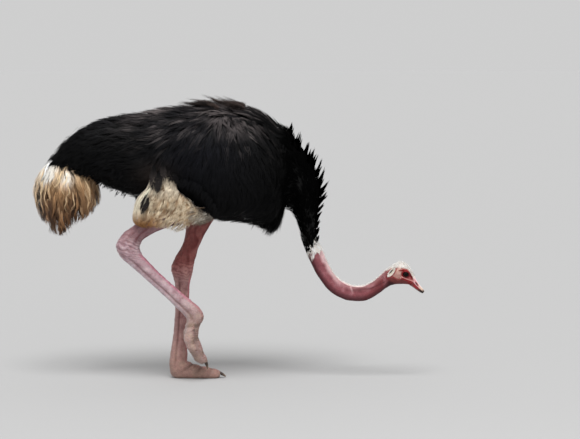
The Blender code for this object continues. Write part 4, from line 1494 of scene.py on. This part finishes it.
# ---- tail and wing plumes -------------------------------------------------------------------
def set_depth(tube, depth):
    """Puts the inner radius this far under the outer one, measured square to the surface."""
    lean = np.abs(np.sum(normals_of(tube.points(tube.outer)) * tube.directions(), axis=-1))
    tube.inner = np.maximum(tube.outer - depth / np.maximum(lean, 0.2), 0.3 * tube.outer)


def room_over(tube, hem):
    """Height of the outside over the line where its plumes end."""
    outside = tube.points(tube.outer)
    return outside[..., 2] - np.interp(outside[..., 0], *hem)


def build_core(tube, height, hem, name, slot, look, hue):
    """A closed surface under a bunch of plumes, painted as the shade between them, so that no gap
    shows through it.
    """
    grid = tube.points(tube.inner + height * (tube.outer - tube.inner))
    grid[..., 2] = np.maximum(grid[..., 2], np.interp(grid[..., 0], *hem) + 0.080)
    grid = grid + normals_of(grid) * (0.003 * noise(grid, 0.012, 54))[..., None]
    made = add_surface(name, *tube_mesh(grid), look)
    mesh = made.data
    paint(mesh, hue(vectors_of(mesh.vertices, "co"), 0.0))
    rings, count = grid.shape[:2]
    ring = np.append(np.repeat(np.arange(rings), count), [0, rings - 1])
    step = np.append(np.tile(np.arange(count), rings), [0, 0])
    loops = np.zeros(len(mesh.loops), np.int32)
    mesh.loops.foreach_get("vertex_index", loops)
    lay_out(mesh, unwrap(tube, ring, step), loops)
    belongs(made, slot)


def tail_tube():
    """Rings round the tail's plumes, as long and wide as the table says."""
    tube = Tube([(0.5 * (rear + fore), 0, z, 0.0, 6) for z, rear, fore, _ in TAIL], 64)
    _, rear, fore, half_width = np.array(TAIL).T
    places = np.arange(len(TAIL))
    long_half = np.interp(tube.station, places, 0.5 * (fore - rear))
    half_width = np.interp(tube.station, places, half_width)
    tube.outer = 1.0 / np.hypot(np.cos(tube.angle) / long_half, np.sin(tube.angle) / half_width)
    set_depth(tube, 0.040)
    return tube


def tail_flow(points, along, _):
    return unit(along) + 0.14 * drift(points, 0.05, 51, 52, None)


def tail_shadow(points, _):
    z = points[:, 2]
    return layered((206, 186, 162), ((146, 112, 80), 1 - rise(z, 0.94, 1.00)),
                   ((44, 29, 19), 1 - rise(z, 0.80, 0.93)))


def tail_hue(points, luck):
    """Buff and brown locks, white at the top, pale along the rear and dark at the ends, partly
    painted light and shade.
    """
    x, _, z = points.T
    white = rise(z - 0.50 * (x + 0.84) + 0.03 * (luck - 0.5), 0.938, 0.984)
    white = np.maximum(white * (1 - rise(x, -0.85, -0.78)),
                       patch_at(points, -0.765, 0.970, 0.028, 0.036))
    low = layered((112, 76, 48), ((36, 21, 12), luck))
    return layered(
        (194, 152, 108),
        ((86, 56, 34), luck ** 1.35),
        ((222, 192, 152), rise(z, 0.90, 0.98) * 0.55),
        ((255, 250, 240), white),
        # pale cream along the rear edge: partly the plumes' own tone, partly painted light on the
        # rim
        ((228, 198, 160), (1 - rise(x, -0.915, -0.870)) * rise(z, 0.80, 0.88) * 0.82),
        # darker towards the lower ends: partly the locks' own brown, partly painted shade between
        # them
        (low, (1 - rise(z, 0.78, 0.97)) * 0.94),
        ((158, 119, 82), rise(x, -0.72, -0.66) * 0.55))


def strand_hue(points, _):
    return layered((238, 206, 164), ((168, 122, 82), 1 - rise(points[:, 2], 0.76, 0.90)))


def build_tail(look):
    """Long wavy locks that hang from under the rump."""
    rng = np.random.default_rng(13)
    tube = tail_tube()
    room = room_over(tube, TAIL_HEM)
    locks = scatter(tube, rng, rise(room, 0.015, 0.06), 235)
    fill = scatter(tube, rng, rise(room, 0.03, 0.06), 140)
    batches = [
        lying(tube, rng, *locks, tail_flow, tail_hue, length=0.140, barbs=12, cuts=8,
              width=0.0024, low=(0.55, 0.9), high=(0.80, 1.15), meet=0.85, stray=0.14,
              wave=0.010, ripples=1.25, tip_tone=0.85, hem=TAIL_HEM),
        # painted shade: the filling locks darken to a third at their tips, the shade in the gaps
        # between the upper locks
        lying(tube, rng, *fill, tail_flow, tail_hue, length=0.13, barbs=9, cuts=4, spread=0.014,
              low=(0.35, 0.6), high=(0.5, 0.8), meet=0.4, wave=0.004, tip_tone=0.35,
              hem=TAIL_HEM),
    ]
    strands = scatter(tube, rng, rise(room, 0.04, 0.10), 70)
    batches.append(lying(tube, rng, *strands, tail_flow, strand_hue, length=0.11, barbs=5,
                         cuts=7, spread=0.0035, width=0.0014, low=(0.95, 1.05),
                         high=(1.05, 1.2), meet=0.6, stray=0.22, wave=0.013, ripples=1.3,
                         hem=TAIL_HEM))
    build_core(tube, 0.35, TAIL_HEM, "tail_core", "tail_plumes", look, tail_shadow)
    belongs(joined("tail_locks", batches, look), "tail_plumes", "tail_plumes")


def vane(tube, rng, base, tip, facing, half_width, colour, count):
    """One loose feather with a blunt end: barbs that leave its shaft and close to the tip."""
    base, tip = np.array(base), np.array(tip)
    across = unit(np.cross(tip - base, facing))
    start = rng.uniform(0.02, 0.93, count)
    side = rng.choice([-1.0, 1.0], count)
    end = np.minimum(start + rng.uniform(0.16, 0.30, count), 1.0)
    bulge = np.sqrt(np.maximum(1.0 - end ** 5, 0.0)) * rise(end, 0.0, 0.55) + 0.04
    cuts = np.array([0.0, 0.34, 0.67, 1.0])
    share = start[:, None] + (end - start)[:, None] * cuts
    spine = []
    for t, at in zip(cuts, share.T[..., None]):
        out = (side * half_width * bulge * t ** 0.8)[:, None]
        lift = facing * (0.004 * np.sin(np.pi * at))
        spine.append(base * (1 - at) + tip * at + across * out + lift
                     + rng.normal(0, 0.0006, (count, 3)))
    shade = rng.uniform(0.85, 1.2, (count, 1, 1))
    colours = layered((9, 9, 10), (colour, rise(share, 0.15, 0.60))) * shade
    widths = 0.0023 * rng.uniform(0.8, 1.2, count)[:, None] * taper(3)[None]
    return (np.stack(spine, axis=1), widths, np.broadcast_to(facing, (count, 3)), colours,
            unwrap_near(tube, spine[0]))


def wing_tube(side, name):
    tube = Tube([(x, side * y, *rest) for x, y, *rest in PLUMES], 56)
    tube.sample(solid_tree("wing_plumes_" + name), 0.30)
    tube.fill_gaps()
    tube.outer = softened(tube.outer, 3, 2)
    set_depth(tube, 0.024)
    return tube


def fan(points, _, __):
    """The pale plumes fan out: down at the rear, more backwards towards the front."""
    t = np.clip((points[:, 0] + 0.45) / 0.38, 0.0, 1.0)
    way = np.stack([-0.10 - 0.75 * t, 0 * t, -1.0 + 0.45 * t], axis=1)
    return way + 0.28 * drift(points, 0.025, 61, None, 62)


def plume_hue(points, luck):
    """Cream to buff, mottled in the middle, greyer in front and browner low at the rear."""
    x, _, z = points.T
    mottle = rise(noise(points, 0.018, 63) + luck - 0.5, 0.0, 0.8) * hump(z - 0.82, 0.06)
    return layered(
        (232, 214, 184),
        ((164, 130, 94), luck ** 1.2),
        ((126, 94, 64), mottle * 0.6),
        ((242, 232, 212), rise(z, 0.86, 0.93) * 0.5),
        ((160, 142, 120), rise(x, -0.20, -0.10) * (0.3 + 0.7 * luck)),
        ((244, 232, 208), (1 - rise(x, -0.43, -0.37)) * rise(z, 0.77, 0.83) * 0.8),
        ((160, 110, 60), (1 - rise(z, 0.75, 0.83)) * (1 - rise(x, -0.38, -0.26))),
        ((232, 222, 204), (1 - rise(z, 0.735, 0.765)) * rise(x, -0.34, -0.28) * 0.6))


def wing_side(side, name):
    """A function that finds the place on the wing's side at an x and z, standing proud of it."""
    solids = solid_tree("wing_plumes_" + name, "wing_" + name, "trunk")

    def on_side(x, z, proud):
        hit = solids.ray_cast(Vector((x, side * 0.5, z)), Vector((0.0, -side, 0.0)), 0.5)[0]
        return x, (hit.y if hit else side * 0.2) + side * proud, z

    return on_side


def side_tufts(tube, rng, facing, roots, way, stray, bend, reach, hue, **shape):
    """Free tufts from the given places on the wing's side."""
    roots = np.array(roots)
    ways = np.array(way) + rng.normal(0, stray, roots.shape)
    return standing(rng, roots, ways, bend, rng.uniform(*reach, len(roots)), hue,
                    unwrap_near(tube, roots), facing, **shape)


def side_locks(tube, rng, facing, on_side):
    """Grey wisps under the front of the wing, and cream strands that hang over the plumes."""
    x = rng.uniform(-0.165, -0.070, 60)
    z = 0.775 + 0.085 * rng.uniform(0, 1, len(x)) * (-0.05 - x) / 0.11
    wisps = side_tufts(tube, rng, facing, [on_side(*at, 0.002) for at in zip(x, z)],
                       (-0.80, 0.0, -0.55), 0.16, 0.25 * facing, (0.035, 0.060),
                       by_luck((112, 102, 90), (226, 218, 204), power=4), barbs=9,
                       width=0.0011, meet=0.4, wave=0.003)
    roots = [on_side(x, 0.945 + 0.9 * (x + 0.35), 0.014) for x in np.linspace(-0.392, -0.345, 9)]
    strands = side_tufts(tube, rng, facing, roots, (-0.55, 0.0, -0.65), 0.15, -0.5 * UP,
                         (0.05, 0.11), plain((240, 230, 206)), barbs=4, cuts=5, spread=0.002,
                         width=0.0014, meet=0.6, wave=0.003)
    return [wisps, strands]


def dark_feathers(tube, rng, facing, on_side):
    """Loose dark feathers at the rear edge of the pale plumes."""
    rows = (    # root x and z, tip x and z, half width, tone, barbs, how far the tip stands out
        (-0.352, 0.955, -0.403, 0.812, 0.0225, 34, 540, 0.026),
        (-0.316, 1.020, -0.328, 0.910, 0.0195, 36, 420, 0.020),
        (-0.340, 1.050, -0.352, 0.925, 0.0200, 46, 230, 0.012),
        (-0.300, 1.060, -0.298, 0.965, 0.0180, 48, 180, 0.010),
    )
    return [vane(tube, rng, on_side(x, z, -0.004), on_side(tip_x, tip_z, proud), facing, half,
                 (level, 0.9 * level, 0.88 * level), barbs)
            for x, z, tip_x, tip_z, half, level, barbs, proud in rows]


def plume_border(tube, rng, facing, on_side):
    """Pointed black tufts that overhang the pale plumes along their upper edge."""
    count = 40
    x = np.linspace(PLUME_TOP[0][0], PLUME_TOP[0][-1], count) + rng.normal(0, 0.002, count)
    z = np.interp(x, *PLUME_TOP) + rng.normal(0, 0.004, count)
    ways = np.array([-0.35, 0.0, -1.0]) + rng.normal(0, 0.14, (count, 3))
    reach = rng.uniform(0.034, 0.050, count)
    roots = np.array([on_side(*at, 0.001) for at in zip(x + 0.3 * reach, z + 0.9 * reach)])
    return standing(rng, roots, ways, -0.05 * facing, reach, black_hue,
                    unwrap_near(tube, roots), facing, barbs=12, spread=0.006, width=0.0026,
                    meet=0.8)


def build_wing_locks(side, name, look, dark_look):
    """Pale plumes that fan out from under the wing, with dark feathers round their edge."""
    rng = np.random.default_rng(14)
    tube = wing_tube(side, name)
    outwards = side * np.sin(tube.angle)[None, :]
    room = rise(room_over(tube, PLUME_HEM), 0.004, 0.030)
    rows = scatter(tube, rng, room * (0.08 + rise(outwards, -0.35, 0.1)), 700)
    rear = (tube.points(tube.outer)[..., 0] < -0.37) * (tube.station < 2.6)
    long_rows = scatter(tube, rng, rise(outwards, -0.3, 0.1) * rear, 46)
    batches = [
        lying(tube, rng, *rows, fan, plume_hue, length=0.044, barbs=10, spread=0.0050,
              width=0.0016, low=(0.6, 0.9), high=(0.9, 1.10), meet=0.80, stray=0.30,
              wave=0.007, ripples=0.9, lift=0.004, tip_tone=0.80, hem=PLUME_HEM),
        lying(tube, rng, *long_rows, fan, plume_hue, length=0.14, barbs=11, cuts=6,
              spread=0.0045, width=0.0015, low=(0.9, 1.0), high=(1.0, 1.12), meet=0.7,
              stray=0.12, wave=0.005, ripples=1.0, hem=PLUME_HEM),
    ]
    # the core's brown is painted shade, the shade between the pale plumes
    build_core(tube, 0.60, PLUME_HEM, "wing_core_" + name, "pale_plumes", look,
               plain((122, 98, 72)))
    on_side = wing_side(side, name)
    facing = side * ACROSS
    batches += side_locks(tube, rng, facing, on_side)
    belongs(joined("wing_locks_" + name, batches, look), "pale_plumes", "wing_plumes_" + name)
    feathers = dark_feathers(tube, rng, facing, on_side)
    feathers.append(plume_border(tube, rng, facing, on_side))
    belongs(joined("wing_tips_" + name, feathers, dark_look), "black_plumage")


# ---- white down -----------------------------------------------------------------------------
WHITE = by_luck((255, 251, 245), (224, 210, 200), 0.6)


def down_tufts(tube, rng, weight, count, lengths, barbs):
    """Short fluffy tufts that stand a little off the skin and lean backwards."""
    return fringe(tube, rng, weight, count, 0.0, (-0.75, 0.0, 0.60), 0.26, (0.0, 0.0, -0.25),
                  lengths, WHITE, barbs=barbs, cuts=2, spread=0.0016, width=0.0008, meet=0.1)


def ear_down(tube, surface, rng, side):
    """Fine pale feathers that close over the edge of the ear."""
    count = 110
    around = rng.uniform(0.0, 2.0 * np.pi, count)
    size = rng.uniform(0.75, 1.05, count)
    x, z = from_oval(0.0265 * size * np.cos(around), 0.0105 * size * np.sin(around), *EAR[:2])
    roots = []
    for here in zip(x, z):
        start = Vector((here[0], side * 0.2, here[1]))
        hit = surface.ray_cast(start, Vector((0, -side, 0)), 0.2)[0]
        roots.append(tuple(hit) if hit else (here[0], side * 0.036, here[1]))
    roots = np.array(roots)
    slit_x, slit_z = EAR_SLIT[0]
    inwards = unit(np.stack([slit_x - x, np.full(count, side * 0.012), slit_z - z], axis=1))
    ways = inwards + np.array([0.35, side * 0.35, 0.45]) + rng.normal(0, 0.15, roots.shape)
    return standing(rng, roots, ways, 0.0 * UP, rng.uniform(0.005, 0.009, count), WHITE,
                    unwrap_near(tube, roots), side * ACROSS, barbs=6, cuts=2, spread=0.0009,
                    width=0.0006, meet=0.3)


def collar_flow(_, along, __):
    return unit(along) - 0.3 * unit(np.array([1.0, 0.0, 1.0]))


def build_down(tube, surface, look):
    """White down of the crown, ear and collar, and the rim along the back of the bare neck."""
    rng = np.random.default_rng(15)
    station, turn = tube.station, tube.turn
    points = tube.points(tube.outer)
    top = rise(points[..., 2] - np.interp(points[..., 0], *CROWN_EDGE), -0.002, 0.005)
    top = top * span(station, 25.6, 26.6, 32.7, 33.1) * (turn < 120)
    crown = down_tufts(tube, rng, top, 980, (0.008, 0.013), barbs=7)
    ears = [ear_down(tube, surface, rng, side) for side in (-1, 1)]
    belongs(joined("crown_down", [crown] + ears, look), "collar_down")
    nape = span(station, 17.0, 17.6, 25.6, 26.6) * hump(turn, 15.0) * (turn < 27.0)
    rim = down_tufts(tube, rng, nape, 560, (0.007, 0.011), barbs=6)
    ruff = span(black_edge(points), -0.052, -0.020, 0.010, 0.020)
    ruff = ruff * (station > 15.0) * (0.25 + hump(turn, 85.0))
    collar = lying(tube, rng, *scatter(tube, rng, ruff, 260), collar_flow, WHITE, length=0.028,
                   barbs=9, spread=0.003, width=0.0013, low=(0.0, 0.4), high=(0.4, 1.2),
                   meet=0.5, lift=0.004, stray=0.35)
    belongs(joined("collar_down", [collar, rim], look), "collar_down")


# ---- camera, floor and light ----------------------------------------------------------------
SKY = 0.62                  # brightness of the studio's sky
FLOOR = 0.443               # the floor's, chosen so that it meets the sky without a line


def add_camera():
    data = bpy.data.cameras.new("camera")
    data.lens = 128.0
    data.sensor_width = 36.0
    data.clip_end = 200.0
    pitch = math.radians(-4.7)
    aim = Vector((0.293, 0.0, 0.766))
    distance = 9.90
    camera = add_object("camera", data)
    camera.location = aim - distance * Vector((0.0, math.cos(pitch), math.sin(pitch)))
    camera.rotation_euler = (math.radians(90.0) + pitch, 0.0, 0.0)
    bpy.context.scene.camera = camera


def add_lights():
    """An overcast sun, and a broad weak light from the camera's side."""
    sun = bpy.data.lights.new("sun", "SUN")
    sun.energy = 2.6
    sun.angle = math.radians(35.0)
    add_object("sun", sun).rotation_euler = (math.radians(26.0), math.radians(-2.0), 0.0)
    data = bpy.data.lights.new("fill", "AREA")
    data.shape = "RECTANGLE"
    data.size, data.size_y = 4.0, 2.0
    data.energy = 28.0
    fill = add_object("fill", data)
    place, aim = Vector((1.0, -4.6, 2.2)), Vector((0.0, 0.0, 0.8))
    fill.location = place
    fill.rotation_euler = (aim - place).to_track_quat("-Z", "Y").to_euler()


def add_studio():
    """A white world over a pale floor; both are only there for the pictures."""
    bpy.context.scene.view_settings.view_transform = "Standard"
    world = bpy.data.worlds.new("studio")
    world.use_nodes = True
    background = world.node_tree.nodes["Background"]
    background.inputs["Color"].default_value = (1.0, 1.0, 1.0, 1.0)
    background.inputs["Strength"].default_value = SKY
    bpy.context.scene.world = world
    add_lights()
    half = 150.0
    corners = [(-half, -half, 0), (half, -half, 0), (half, half, 0), (-half, half, 0)]
    ground = bpy.data.materials.new("floor")
    ground.use_nodes = True
    shader = ground.node_tree.nodes["Principled BSDF"]
    shader.inputs["Base Color"].default_value = (FLOOR, FLOOR, FLOOR, 1.0)
    shader.inputs["Roughness"].default_value = 0.9
    floor = add_surface("floor", corners, [(0, 1, 2, 3)], ground)
    floor.location.z = -0.0005


add_camera()
add_studio()
body = body_tube()
surface = build_skin(body, skin_look())
horn = horn_look("bill_horn", 0.40)
build_bill("upper_bill", "bill_upper", BILL_UPPER, upper_bill, horn)
build_bill("lower_bill", "bill_lower", BILL_LOWER, lower_bill, horn)
glossy = eye_look()
build_eye(-1, "right", glossy)
build_eye(1, "left", glossy)
build_claw((-0.118, 0.098), -52.0, -0.073, "claw_right", horn)
build_claw((-0.060, 0.025), -6.0, -0.003, "claw_left", horn)
black = feather_look("black_feathers", 0.58, 0.0, 0.07)
build_lashes(body, black)
pale = feather_look("pale_feathers", 0.80, 0.25, 0.20, 0.14)
build_black_coat(body, black, feather_look("black_neck_feathers", 0.85, 0.0, 0.01))
build_back_tufts(body, black)
build_tail(pale)
build_wing_locks(-1, "right", pale, black)
build_wing_locks(1, "left", pale, black)
build_down(body, surface, feather_look("down", 0.8, 0.3, 0.2, 0.06))
